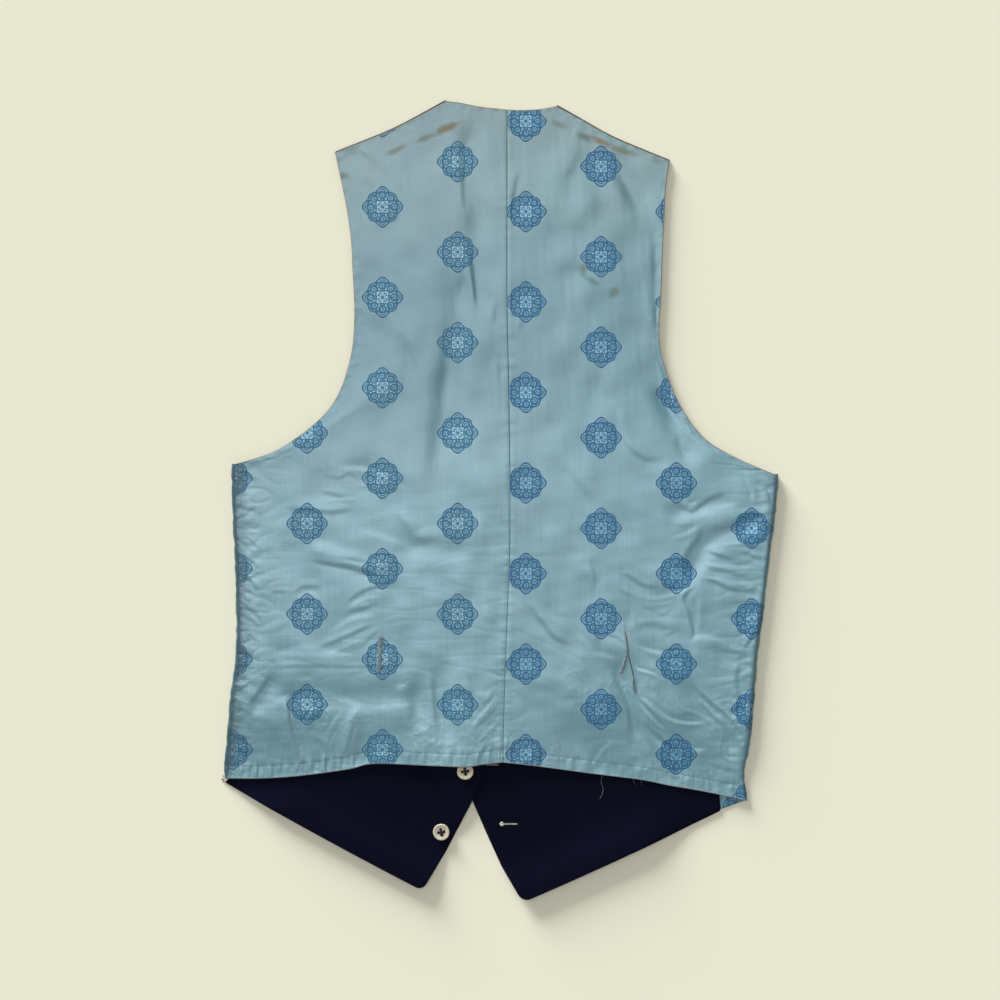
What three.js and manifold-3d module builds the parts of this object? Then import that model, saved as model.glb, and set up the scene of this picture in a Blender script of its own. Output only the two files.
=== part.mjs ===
import * as THREE from 'three';
import { mergeVertices } from 'three/addons/utils/BufferGeometryUtils.js';
import Module from 'manifold-3d';

// A buttoned waistcoat laid flat on its fronts, with its two-piece silk back up.
// Millimetres, +Z up, head towards +Y, the table at Z = 0.

const wasm = await Module();
wasm.setup();
const { Manifold, Mesh } = wasm;

// Cloth walls and the space left at every seam
const BACK_WALL = 1.2;
const FRONT_WALL = 2.0;
const SEAM_GAP = 0.3;
const LAYER_GAP = 0.4;

// Heights of the middle of the back's wall
const EDGE_LEVEL = FRONT_WALL + LAYER_GAP + BACK_WALL / 2 + 0.1;
const LOWEST_LEVEL = FRONT_WALL + LAYER_GAP + BACK_WALL / 2;
const TURNED_LEVEL = BACK_WALL / 2;
const RIDGE_LEVEL = 9.0;
const RIDGE_X = -26;
const RIDGE_HALF_WIDTH = 32;
const RIDGE_TOP = 92;
const RIDGE_FADE = 80;
const HEM_SETTLE = 34;
const TOP_SETTLE = 40;
const ARMHOLE_SETTLE = 34;
const SIDE_CALM = 16;
const FOLD_SHARPNESS = 1.4;

// Grid of the back: columns across a half, rows up the side and up the armhole
const BACK_COLUMNS = 17;
const NECK_COLUMNS = 5;
const SIDE_ROWS = 17;
const ARMHOLE_ROWS = 20;
const TURN_STEPS = 5;
const RETURN_STEPS = 2;
const UNDERARM_ROWS = 4;

// The side is turned under, and the right one hangs out of square at the hem
const RIGHT_RETURN_DROP = 7.6;
const RETURN_DROP_HEIGHT = 60;

// Fronts
const FRONT_TUCK = 1.5;
const SHOULDER_SHOW = { out: 0.4, up: 0.9 };
const SIDE_JOIN_GAP = 0.4;
const OVERLAP_RISE = FRONT_WALL + 0.5;
const OVERLAP_RAMP = 30;
const OVERLAP_MARGIN = 9;
const NOTCH_Y = -256;
const NOTCH_FADE = 50;
const NOTCH_MARGIN = 20;
const FRONT_LEFT_COLUMNS = [0, 0.045, 0.09, 0.135, 0.18, 0.23, 0.29, 0.4, 0.6, 0.8, 1];
const FRONT_RIGHT_COLUMNS = [0, 0.17, 0.34, 0.5, 0.67, 0.84, 1];
const FRONT_ARMHOLE_ROWS = 11;
const FRONT_HEM_BOW = 1.2;
const FRONT_TIP_RADIUS = { left: 6.5, right: 8 };
const TIP_CUT_MARGIN = 1.5;
const TIP_CUT_SEGMENTS = 48;

// Buttons and buttonholes
const BUTTON_DIAMETER = 14;
const BUTTON_HOLE_DIAMETER = 2.3;
const BUTTON_HOLE_OFFSET = 2.3;
const BUTTON_SEGMENTS = 28;
const BUTTON_HOLES = 4;
const BUTTON_HOLE_SEGMENTS = 8;
const BUTTON_SEAT_MARGIN = 9;
const BUTTON_PROFILE = [
  { inset: 2.2, z: 0 },
  { inset: 0.5, z: 0.55 },
  { inset: 0, z: 1.2 },
  { inset: 0.25, z: 1.95 },
  { inset: 0.95, z: 2.3 },
  { inset: 1.9, z: 2.05 },
  { inset: 2.7, z: 1.65 },
];
const BUTTON_DISH = 1.6;
const EYELET_DIAMETER = 3.0;
const EYELET_SEGMENTS = 10;
const SLIT_LENGTH = 12.9;
const SLIT_WIDTH = 0.9;
const WELD_DISTANCE = 1e-4;

const SILK = { color: 0x86a9ba, roughness: 0.42, metalness: 0.0 };
const WOOL = { color: 0x10121f, roughness: 0.9, metalness: 0.0 };
const HORN = { color: 0xd6ceb4, roughness: 0.38, metalness: 0.0 };

/** Turns rows of numbers into records with named columns. */
function table(columns, rows) {
  return rows.map((row) => Object.fromEntries(columns.map((name, i) => [name, row[i]])));
}

// Side edges of the laid back from the hem to the underarm, with the width turned under
const SIDE = table(['leftX', 'leftY', 'leftTurn', 'rightX', 'rightY', 'rightTurn'], [
  [-234.6, -237.2, 1.2, 210.8, -255.9, 21.0],
  [-234.4, -222.0, 2.6, 208.6, -229.0, 20.0],
  [-232.5, -204.0, 4.0, 212.4, -208.0, 19.0],
  [-229.5, -170.0, 4.0, 215.6, -176.0, 17.5],
  [-225.3, -140.3, 4.0, 218.3, -137.7, 15.5],
  [-223.7, -110.0, 4.0, 221.6, -110.0, 13.5],
  [-224.3, -80.0, 4.0, 225.6, -80.0, 11.0],
  [-225.3, -51.0, 4.0, 230.0, -43.0, 8.0],
  [-227.8, 0.0, 4.0, 235.4, 2.0, 4.0],
  [-227.8, 29.3, 4.0, 236.3, 19.6, 2.0],
]);

// Armhole edges of the back from the underarm to the shoulder tip
const ARMHOLE = table(['leftX', 'leftY', 'rightX', 'rightY'], [
  [-224.3, 30.6, 232.6, 22.0],
  [-212.5, 34.0, 204.9, 34.0],
  [-189.6, 42.5, 181.1, 46.8],
  [-164.1, 59.5, 167.5, 59.5],
  [-146.2, 76.5, 155.6, 76.5],
  [-136.0, 93.5, 147.1, 93.5],
  [-130.1, 110.5, 141.1, 110.5],
  [-125.4, 131.8, 136.4, 127.5],
  [-123.9, 161.5, 135.2, 148.0],
  [-125.4, 195.5, 136.9, 174.3],
  [-126.7, 221.0, 138.1, 208.3],
  [-130.1, 246.5, 139.6, 240.0],
  [-133.5, 263.5, 141.0, 266.0],
  [-140.3, 295.8, 144.1, 289.0],
]);

// Back neck edge from the centre seam to the neck point
const NECK = table(['leftX', 'leftY', 'rightX', 'rightY'], [
  [6.0, 332.4, 6.0, 332.4],
  [-17.0, 334.9, 17.0, 332.0],
  [-33.0, 338.0, 34.0, 332.8],
  [-45.9, 339.6, 48.5, 335.3],
]);

// Shoulder edge from the neck point to the shoulder tip
const SHOULDER = table(['leftX', 'leftY', 'rightX', 'rightY'], [
  [-45.9, 339.6, 48.5, 335.3],
  [-85.0, 318.8, 68.0, 324.7],
  [-110.5, 307.7, 93.5, 310.3],
  [-127.0, 301.2, 119.0, 299.2],
  [-140.3, 295.8, 144.1, 289.0],
]);

// Hem of the back from the centre seam to the side
const HEM = table(['leftX', 'leftY', 'rightX', 'rightY'], [
  [2.5, -223.1, 2.5, -223.1],
  [-15.3, -225.0, 25.5, -225.7],
  [-30.0, -227.0, 51.0, -229.1],
  [-59.5, -226.0, 85.0, -233.8],
  [-107.1, -224.6, 119.0, -238.0],
  [-129.2, -229.3, 144.5, -243.1],
  [-170.0, -234.9, 170.0, -247.4],
  [-204.0, -237.2, 195.5, -252.5],
  [-234.6, -237.2, 210.8, -255.9],
]);

// Centre back seam from the hem to the underarm level, then on to the neck
const LOWER_SEAM = table(['x', 'y'], [
  [2.5, -223.1],
  [4.2, -153.0],
  [6.8, -85.0],
  [8.5, -40.0],
  [8.5, 36.0],
]);
const UPPER_SEAM = table(['x', 'y'], [
  [8.5, 36.0],
  [7.6, 90.0],
  [6.0, 170.0],
  [6.0, 250.0],
  [6.0, 332.4],
]);

// How high the back lies between its edges, up the body
const BODY = table(['y', 'level'], [
  [-260, 6.3],
  [40, 6.3],
  [110, 5.5],
  [200, 4.6],
  [340, 4.0],
]);

// Largest folds of the back: a line, the width across it and the rise (minus for a trough)
const FOLDS = table(['x0', 'y0', 'x1', 'y1', 'width', 'rise'], [
  [-34, 182, -54, 30, 26, -1.3],
  [-26, 318, -14, 165, 22, -0.9],
  [108, 276, 134, 215, 26, -0.9],
  [134, 92, 162, 36, 22, -1.5],
  [-81, -42, -28, -43, 22, -1.0],
  [180, -31, 160, -66, 20, -1.9],
  [182, -32, 222, -18, 18, -1.3],
  [146, -12, 195, 0, 18, -1.2],
  [-191, -166, -68, -168, 26, -1.6],
  [-49, -141, -43, -203, 22, -1.3],
  [101, -139, 118, -206, 24, -2.0],
  [156, -159, 205, -215, 20, -1.8],
  [-123, -178, -130, -214, 14, 1.0],
  [-190, -150, -209, -180, 16, -1.3],
  [-176, -166, -165, -216, 14, -1.2],
  [-157, -43, -98, -58, 16, 0.9],
]);

// Inner edge of each front, from the tip of its point up to the neck point
const FRONT_LEFT_INNER = table(['x', 'y'], [
  [-66.3, -331.8],
  [-56.7, -315.9],
  [-45.9, -298.4],
  [-32.3, -272.0],
  [-23.2, -254.6],
  [-12.8, -227.0],
  [-6.8, -170.0],
  [-6.8, 8.0],
  [-14.0, 40.0],
  [-26.0, 100.0],
  [-36.0, 170.0],
  [-43.0, 250.0],
  [-46.3, 340.5],
]);
const FRONT_RIGHT_INNER = table(['x', 'y'], [
  [19.5, -341.9],
  [8.5, -323.4],
  [1.7, -312.0],
  [-11.9, -282.2],
  [-23.2, -256.0],
  [-28.0, -238.0],
  [-32.3, -224.4],
  [-37.5, -190.0],
  [-38.0, -150.0],
  [-38.0, 8.0],
  [-32.0, 35.0],
  [-18.0, 80.0],
  [4.0, 150.0],
  [26.0, 230.0],
  [48.9, 336.2],
]);
const FRONT_HEM_CORNER = { leftX: -233.8, leftY: -240.6, rightX: 185.0, rightY: -263.7 };

const BUTTONS = table(['x', 'y', 'turn'], [
  [-50.0, -282.8, 10],
  [-29.6, -231.0, 8],
  [-22.5, -176.2, 4],
  [-22.5, -121.8, 31],
  [-22.5, -67.4, 14],
  [-22.5, -13.0, 40],
]);

const BUTTONHOLES = table(['x', 'y'], [
  [1.5, -276.1],
  [-14.6, -224.4],
  [-21.5, -170.0],
  [-21.5, -115.6],
  [-21.5, -61.2],
  [-21.5, -6.8],
]);

/** Cubic ease from 0 to 1. */
function ease(value) {
  const t = Math.min(1, Math.max(0, value));
  return t * t * (3 - 2 * t);
}

/** Reads a value out of a table by linear steps of its first column. */
function stepRead(rows, key, at, value) {
  const last = rows.length - 1;
  if (at <= rows[0][key]) {
    return rows[0][value];
  }
  for (let i = 0; i < last; i += 1) {
    const a = rows[i];
    const b = rows[i + 1];
    if (at <= b[key]) {
      return THREE.MathUtils.lerp(a[value], b[value], (at - a[key]) / (b[key] - a[key]));
    }
  }
  return rows[last][value];
}

/** Evenly spaced points on a smooth curve through a table's points. */
function smoothEdge(rows, xKey, yKey, steps) {
  const points = rows.map((row) => new THREE.Vector2(row[xKey], row[yKey]));
  const curve = new THREE.SplineCurve(points);
  return curve.getSpacedPoints(steps);
}

/** Evenly spaced points on the straight runs between a table's points. */
function straightEdge(rows, steps) {
  const path = new THREE.CurvePath();
  for (let i = 0; i + 1 < rows.length; i += 1) {
    const a = new THREE.Vector2(rows[i].x, rows[i].y);
    const b = new THREE.Vector2(rows[i + 1].x, rows[i + 1].y);
    path.add(new THREE.LineCurve(a, b));
  }
  return path.getSpacedPoints(steps);
}

/** Point of a patch held by four edges, each a list of points with matching corners. */
function patchPoint(edges, row, column, u) {
  const { bottom, top, inner, outer } = edges;
  const v = row / (inner.length - 1);
  const across = inner[row].clone().lerp(outer[row], u);
  const low = inner[0].clone().lerp(outer[0], u);
  const high = inner[inner.length - 1].clone().lerp(outer[outer.length - 1], u);
  across.addScaledVector(bottom[column].clone().sub(low), (1 - v) ** 2);
  across.addScaledVector(top[column].clone().sub(high), v ** 2);
  return across;
}

/** Sum of the folds at a point, each one a soft bell across its line that fades at its ends. */
function foldRise(x, y) {
  let sum = 0;
  for (const fold of FOLDS) {
    const dx = fold.x1 - fold.x0;
    const dy = fold.y1 - fold.y0;
    const length = Math.hypot(dx, dy);
    const along = ((x - fold.x0) * dx + (y - fold.y0) * dy) / length;
    const beside = ((x - fold.x0) * dy - (y - fold.y0) * dx) / length;
    const end = Math.min(along, length - along) + fold.width / 2;
    const across = (2 * beside) / fold.width;
    sum += fold.rise * ease(end / fold.width) * Math.exp(-across * across * FOLD_SHARPNESS);
  }
  return sum;
}

/** Lifts the back over the doubled fronts and the row of buttons. */
function ridge(level, x, y) {
  const side = (x - RIDGE_X) / RIDGE_HALF_WIDTH;
  const fade = ease((RIDGE_TOP - y) / RIDGE_FADE);
  return level + (RIDGE_LEVEL - level) * Math.exp(-side * side) * fade;
}

/** Height of the middle of the back's wall at a point with its distances to the edges. */
function backLevel(x, y, hemGap, topGap, outerGap, armholeShare) {
  const body = stepRead(BODY, 'y', y, 'level');
  const settled = ease(outerGap / ARMHOLE_SETTLE + (1 - armholeShare));
  const rise = ease(hemGap / HEM_SETTLE) * ease(topGap / TOP_SETTLE) * settled;
  const calm = ease(outerGap / SIDE_CALM) * ease(hemGap / SIDE_CALM) * ease(topGap / SIDE_CALM);
  const level = ridge(EDGE_LEVEL + (body - EDGE_LEVEL) * rise, x, y);
  return Math.max(LOWEST_LEVEL, level + foldRise(x, y) * calm);
}

/**
 * Closed wall around a sheet of grid points. Every quad gives an outer and an inner face,
 * and every edge that belongs to one quad only is closed with a strip.
 */
function clothWall(points, quads, wall) {
  const normals = points.map(() => new THREE.Vector3());
  const ab = new THREE.Vector3();
  const ad = new THREE.Vector3();
  for (const [a, b, c, d] of quads) {
    ab.subVectors(points[c], points[a]);
    ad.subVectors(points[d], points[b]);
    const face = new THREE.Vector3().crossVectors(ab, ad).normalize();
    for (const corner of [a, b, c, d]) {
      normals[corner].add(face);
    }
  }
  const count = points.length;
  const positions = [];
  for (const half of [wall / 2, -wall / 2]) {
    points.forEach((point, i) => {
      const shifted = point.clone().addScaledVector(normals[i].clone().normalize(), half);
      positions.push(shifted.x, shifted.y, shifted.z);
    });
  }
  const faces = [];
  const rims = new Map();
  for (const quad of quads) {
    const [a, b, c, d] = quad;
    faces.push(a, b, c, a, c, d);
    faces.push(count + a, count + c, count + b, count + a, count + d, count + c);
    quad.forEach((from, i) => {
      const to = quad[(i + 1) % quad.length];
      if (!rims.delete(`${to},${from}`)) {
        rims.set(`${from},${to}`, [from, to]);
      }
    });
  }
  for (const [from, to] of rims.values()) {
    faces.push(from, count + to, to, from, count + from, count + to);
  }
  const geometry = new THREE.BufferGeometry();
  geometry.setAttribute('position', new THREE.Float32BufferAttribute(positions, 3));
  geometry.setIndex(faces);
  return geometry;
}

/** Joins the four corners of each grid cell, facing up on either half. */
function gridQuads(index, rows, columns, hasCell, mirrored) {
  const quads = [];
  for (let r = 0; r < rows; r += 1) {
    for (let c = 0; c < columns; c += 1) {
      if (hasCell(r, c)) {
        const quad = [index[r][c], index[r][c + 1], index[r + 1][c + 1], index[r + 1][c]];
        quads.push(mirrored ? quad.reverse() : quad);
      }
    }
  }
  return quads;
}

/** The top edge of the back: the neck edge, then the shoulder edge. */
function backTop(xKey, yKey) {
  const neck = smoothEdge(NECK, xKey, yKey, NECK_COLUMNS);
  const shoulder = smoothEdge(SHOULDER, xKey, yKey, BACK_COLUMNS - NECK_COLUMNS);
  return [...neck, ...shoulder.slice(1)];
}

/** Turn under of one side edge: its fold line for each row, drawn in by the fold's radius. */
function sideFoldLine(side, sideEdge) {
  return sideEdge.map((point, row) => {
    const hemGap = point.distanceTo(sideEdge[0]);
    const level = row === 0 ? EDGE_LEVEL : backLevel(point.x, point.y, hemGap, TOP_SETTLE, 0, 0);
    const radius = (level - TURNED_LEVEL + BACK_WALL) / 2;
    return new THREE.Vector2(point.x - side * radius, point.y);
  });
}

/** Sheet points of one half of the back, with its side turned under, and its seam edge. */
function backHalf(side) {
  const left = side < 0;
  const xKey = left ? 'leftX' : 'rightX';
  const yKey = left ? 'leftY' : 'rightY';
  const turnKey = left ? 'leftTurn' : 'rightTurn';
  const drop = left ? 0 : RIGHT_RETURN_DROP;
  const rows = SIDE_ROWS + ARMHOLE_ROWS;

  const sideEdge = smoothEdge(SIDE, xKey, yKey, SIDE_ROWS);
  const armhole = smoothEdge(ARMHOLE, xKey, yKey, ARMHOLE_ROWS);
  const bottom = smoothEdge(HEM, xKey, yKey, BACK_COLUMNS);
  const top = backTop(xKey, yKey);
  const lowerSeam = smoothEdge(LOWER_SEAM, 'x', 'y', SIDE_ROWS);
  const upperSeam = smoothEdge(UPPER_SEAM, 'x', 'y', ARMHOLE_ROWS);
  const inner = [...lowerSeam, ...upperSeam.slice(1)];
  inner.forEach((point) => {
    point.x += (side * SEAM_GAP) / 2;
  });

  const foldLine = sideFoldLine(side, sideEdge);
  foldLine[SIDE_ROWS].y = armhole[0].y;
  const outer = [...foldLine, ...armhole.slice(1)];
  bottom[0] = inner[0].clone();
  bottom[BACK_COLUMNS] = outer[0].clone();
  top[0] = inner[rows].clone();

  const edges = { bottom, top, inner, outer };
  const points = [];
  const index = [];
  const place = (row, x, y, z) => {
    index[row].push(points.length);
    points.push(new THREE.Vector3(x, y, z));
  };
  for (let row = 0; row <= rows; row += 1) {
    index.push([]);
    const armholeShare = ease((row - SIDE_ROWS) / UNDERARM_ROWS);
    for (let column = 0; column <= BACK_COLUMNS; column += 1) {
      const u = column / BACK_COLUMNS;
      const at = patchPoint(edges, row, column, u);
      const hemGap = at.distanceTo(bottom[column]);
      const topGap = at.distanceTo(top[column]);
      const outerGap = at.distanceTo(outer[row]);
      place(row, at.x, at.y, backLevel(at.x, at.y, hemGap, topGap, outerGap, armholeShare));
    }
  }

  const returnEdge = [];
  for (let row = 0; row <= SIDE_ROWS; row += 1) {
    const start = points[index[row][BACK_COLUMNS]];
    const radius = (start.z - TURNED_LEVEL) / 2;
    const width = stepRead(SIDE, yKey, sideEdge[row].y, turnKey);
    const sink = drop * (1 - ease((start.y - outer[0].y) / RETURN_DROP_HEIGHT));
    for (let step = 1; step <= TURN_STEPS; step += 1) {
      const angle = (Math.PI * step) / TURN_STEPS;
      const x = start.x + side * radius * Math.sin(angle);
      const z = start.z - radius * (1 - Math.cos(angle));
      place(row, x, start.y, z);
    }
    for (let step = 1; step <= RETURN_STEPS; step += 1) {
      const share = step / RETURN_STEPS;
      place(row, start.x - side * width * share, start.y - sink * share, TURNED_LEVEL);
    }
    const end = points[index[row][index[row].length - 1]];
    returnEdge.push(new THREE.Vector2(end.x, end.y));
  }

  const columns = BACK_COLUMNS + TURN_STEPS + RETURN_STEPS;
  const hasCell = (r, c) => c < BACK_COLUMNS || r < SIDE_ROWS;
  const quads = gridQuads(index, rows, columns, hasCell, left);
  return { geometry: clothWall(points, quads, BACK_WALL), returnEdge };
}

/** Rise of the left front where it climbs onto the right front. */
function overlapRise(x, y) {
  const inside = x - stepRead(FRONT_RIGHT_INNER, 'y', y, 'x');
  const ramp = (inside + OVERLAP_RAMP) / (OVERLAP_RAMP - OVERLAP_MARGIN);
  const below = (y - NOTCH_Y + NOTCH_FADE) / (NOTCH_FADE - NOTCH_MARGIN);
  return OVERLAP_RISE * ease(ramp) * ease(below);
}

/** One front, flat on the table, its side edge along the turned edge of the back. */
function front(side, returnEdge, innerRows, shares, levelAt) {
  const left = side < 0;
  const xKey = left ? 'leftX' : 'rightX';
  const yKey = left ? 'leftY' : 'rightY';
  const corner = new THREE.Vector2(FRONT_HEM_CORNER[xKey], FRONT_HEM_CORNER[yKey]);
  const seam = returnEdge.map((point) => new THREE.Vector2(point.x - side * SIDE_JOIN_GAP, point.y));
  seam[0].y -= SIDE_JOIN_GAP + SEAM_GAP;
  const armhole = smoothEdge(ARMHOLE, xKey, yKey, FRONT_ARMHOLE_ROWS).slice(1);
  armhole.forEach((point, i) => {
    const tuck = i === FRONT_ARMHOLE_ROWS - 1 ? 0 : FRONT_TUCK;
    point.x -= side * tuck;
    point.y -= i < FRONT_ARMHOLE_ROWS / 2 ? tuck : 0;
  });
  const lift = new THREE.Vector2(side * SHOULDER_SHOW.out, SHOULDER_SHOW.up);
  armhole[FRONT_ARMHOLE_ROWS - 1].add(lift);
  const outer = [corner, ...seam, ...armhole];
  const rows = outer.length - 1;
  const inner = straightEdge(innerRows, rows);

  const neckPoint = inner[rows];
  const shoulder = SHOULDER.map((row) => ({ x: row[xKey] + lift.x, y: row[yKey] + lift.y }));
  shoulder[0] = { x: neckPoint.x, y: neckPoint.y };
  const shoulderPath = new THREE.SplineCurve(shoulder.map((p) => new THREE.Vector2(p.x, p.y)));
  const bottom = shares.map((u) => {
    const at = inner[0].clone().lerp(corner, u);
    at.y -= FRONT_HEM_BOW * 4 * u * (1 - u);
    return at;
  });
  const top = shares.map((u) => shoulderPath.getPointAt(u));
  top[shares.length - 1] = outer[rows].clone();

  const edges = { bottom, top, inner, outer };
  const points = [];
  const index = [];
  for (let row = 0; row <= rows; row += 1) {
    index.push([]);
    shares.forEach((u, column) => {
      const at = patchPoint(edges, row, column, u);
      index[row].push(points.length);
      points.push(new THREE.Vector3(at.x, at.y, FRONT_WALL / 2 + levelAt(at.x, at.y)));
    });
  }
  const quads = gridQuads(index, rows, shares.length - 1, () => true, left);
  return clothWall(points, quads, FRONT_WALL);
}

/** Closed solid of a geometry, its shared corners welded and its empty faces dropped. */
function toSolid(geometry) {
  const bare = new THREE.BufferGeometry();
  bare.setAttribute('position', geometry.getAttribute('position').clone());
  if (geometry.index) {
    bare.setIndex(geometry.index.clone());
  }
  const welded = mergeVertices(bare, WELD_DISTANCE);
  const source = welded.index.array;
  const faces = [];
  for (let i = 0; i < source.length; i += 3) {
    const [a, b, c] = [source[i], source[i + 1], source[i + 2]];
    if (a !== b && b !== c && c !== a) {
      faces.push(a, b, c);
    }
  }
  const mesh = new Mesh({
    numProp: 3,
    vertProperties: new Float32Array(welded.getAttribute('position').array),
    triVerts: new Uint32Array(faces),
  });
  mesh.merge();
  return new Manifold(mesh);
}

/** Geometry of a closed solid. */
function toGeometry(solid) {
  const mesh = solid.getMesh();
  const geometry = new THREE.BufferGeometry();
  geometry.setAttribute('position', new THREE.Float32BufferAttribute(mesh.vertProperties, 3));
  geometry.setIndex(new THREE.Uint32BufferAttribute(mesh.triVerts, 1));
  return geometry;
}

/** Upright cutter that rounds the tip of a front between its inner edge and its hem. */
function tipCutter(innerRows, hemCorner, radius) {
  const tip = new THREE.Vector2(innerRows[0].x, innerRows[0].y);
  const up = new THREE.Vector2(innerRows[1].x, innerRows[1].y).sub(tip).normalize();
  const hemMiddle = tip.clone().lerp(hemCorner, 0.5);
  hemMiddle.y -= FRONT_HEM_BOW;
  const along = hemMiddle.sub(tip).normalize();
  const half = Math.acos(up.dot(along)) / 2;
  const inward = up.clone().add(along).normalize();
  const centre = tip.clone().addScaledVector(inward, radius / Math.sin(half));
  const reach = radius / Math.tan(half);
  const outline = new THREE.Shape();
  outline.moveTo(centre.x, centre.y);
  for (const edge of [tip.clone().addScaledVector(up, reach), tip, tip.clone().addScaledVector(along, reach)]) {
    const way = edge.clone().sub(centre).normalize();
    const corner = edge.clone().addScaledVector(way, TIP_CUT_MARGIN);
    outline.lineTo(corner.x, corner.y);
  }
  outline.closePath();
  const depth = FRONT_WALL * 2;
  const wedge = new THREE.ExtrudeGeometry(outline, { depth, bevelEnabled: false });
  wedge.translate(0, 0, -FRONT_WALL / 2);
  const round = new THREE.CylinderGeometry(radius, radius, depth * 2, TIP_CUT_SEGMENTS);
  round.rotateX(Math.PI / 2);
  round.translate(centre.x, centre.y, 0);
  return toSolid(wedge).subtract(toSolid(round));
}

/** Upright cutter of a worked buttonhole: a round eyelet with its slit running to +X. */
function buttonholeCutter(row) {
  const outline = new THREE.Shape();
  const radius = EYELET_DIAMETER / 2;
  const opening = Math.asin(SLIT_WIDTH / EYELET_DIAMETER);
  const sweep = 2 * (Math.PI - opening);
  for (let i = 0; i <= EYELET_SEGMENTS; i += 1) {
    const angle = opening + (sweep * i) / EYELET_SEGMENTS;
    const x = radius * Math.cos(angle);
    const y = radius * Math.sin(angle);
    if (i === 0) {
      outline.moveTo(x, y);
    } else {
      outline.lineTo(x, y);
    }
  }
  outline.lineTo(SLIT_LENGTH, -SLIT_WIDTH / 2);
  outline.lineTo(SLIT_LENGTH, SLIT_WIDTH / 2);
  outline.closePath();
  const cutter = new THREE.ExtrudeGeometry(outline, { depth: FRONT_WALL * 2, bevelEnabled: false });
  cutter.translate(row.x, row.y, -FRONT_WALL / 2);
  return toSolid(cutter);
}

/** Dished button with a rounded rim and four holes, standing on Z = 0. */
function button(turn) {
  const radius = BUTTON_DIAMETER / 2;
  const profile = [
    new THREE.Vector2(0, 0),
    ...BUTTON_PROFILE.map((ring) => new THREE.Vector2(radius - ring.inset, ring.z)),
    new THREE.Vector2(0, BUTTON_DISH),
  ];
  const disc = new THREE.LatheGeometry(profile, BUTTON_SEGMENTS);
  disc.rotateX(Math.PI / 2);
  let solid = toSolid(disc);
  for (let i = 0; i < BUTTON_HOLES; i += 1) {
    const angle = THREE.MathUtils.degToRad(turn) + (2 * Math.PI * i) / BUTTON_HOLES;
    const drill = new THREE.CylinderGeometry(
      BUTTON_HOLE_DIAMETER / 2,
      BUTTON_HOLE_DIAMETER / 2,
      BUTTON_DIAMETER,
      BUTTON_HOLE_SEGMENTS,
    );
    drill.rotateX(Math.PI / 2);
    drill.translate(BUTTON_HOLE_OFFSET * Math.cos(angle), BUTTON_HOLE_OFFSET * Math.sin(angle), 0);
    solid = solid.subtract(toSolid(drill));
  }
  return toGeometry(solid);
}

/** Height of the left front's face under a button. */
function buttonSeat(row) {
  const reach = BUTTON_DIAMETER / 2 + BUTTON_SEAT_MARGIN;
  let highest = 0;
  for (let i = 0; i < BUTTON_SEGMENTS; i += 1) {
    const angle = (2 * Math.PI * i) / BUTTON_SEGMENTS;
    const x = row.x + reach * Math.cos(angle);
    const y = row.y + reach * Math.sin(angle);
    highest = Math.max(highest, overlapRise(x, y));
  }
  return FRONT_WALL + highest + SEAM_GAP;
}

const group = new THREE.Group();
group.name = 'waistcoat';

/** Adds one piece under its name with its own material. */
function addPiece(name, geometry, finish) {
  const mesh = new THREE.Mesh(geometry, new THREE.MeshStandardMaterial(finish));
  mesh.name = name;
  geometry.computeVertexNormals();
  group.add(mesh);
  return mesh;
}

const backLeft = backHalf(-1);
const backRight = backHalf(1);
addPiece('back_left', backLeft.geometry, SILK);
addPiece('back_right', backRight.geometry, SILK);

const frontLeft = front(-1, backLeft.returnEdge, FRONT_LEFT_INNER, FRONT_LEFT_COLUMNS, overlapRise);
const leftCorner = new THREE.Vector2(FRONT_HEM_CORNER.leftX, FRONT_HEM_CORNER.leftY);
const leftTip = tipCutter(FRONT_LEFT_INNER, leftCorner, FRONT_TIP_RADIUS.left);
addPiece('front_left', toGeometry(toSolid(frontLeft).subtract(leftTip)), WOOL);

const flatFront = front(1, backRight.returnEdge, FRONT_RIGHT_INNER, FRONT_RIGHT_COLUMNS, () => 0);
const rightCorner = new THREE.Vector2(FRONT_HEM_CORNER.rightX, FRONT_HEM_CORNER.rightY);
const rightTip = tipCutter(FRONT_RIGHT_INNER, rightCorner, FRONT_TIP_RADIUS.right);
let holedFront = toSolid(flatFront).subtract(rightTip);
for (const row of BUTTONHOLES) {
  holedFront = holedFront.subtract(buttonholeCutter(row));
}
addPiece('front_right', toGeometry(holedFront), WOOL);

BUTTONS.forEach((row, i) => {
  const piece = addPiece(`button_${i + 1}`, button(row.turn), HORN);
  piece.position.set(row.x, row.y, buttonSeat(row));
});

export default group;
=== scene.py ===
"""A buttoned waistcoat laid flat on its fronts, silk back up, dressed over its solids.

Lengths are millimetres unless a name says squares or metres. One square of the drawing
grid is 0.85 mm, counted from the middle of the waistcoat.
"""

from __future__ import annotations

import logging
import math
import random
from dataclasses import dataclass
from enum import Enum
from typing import Callable, Iterable, Sequence

import bpy
import numpy as np
from mathutils import Matrix, Vector
from mathutils.bvhtree import BVHTree

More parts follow.
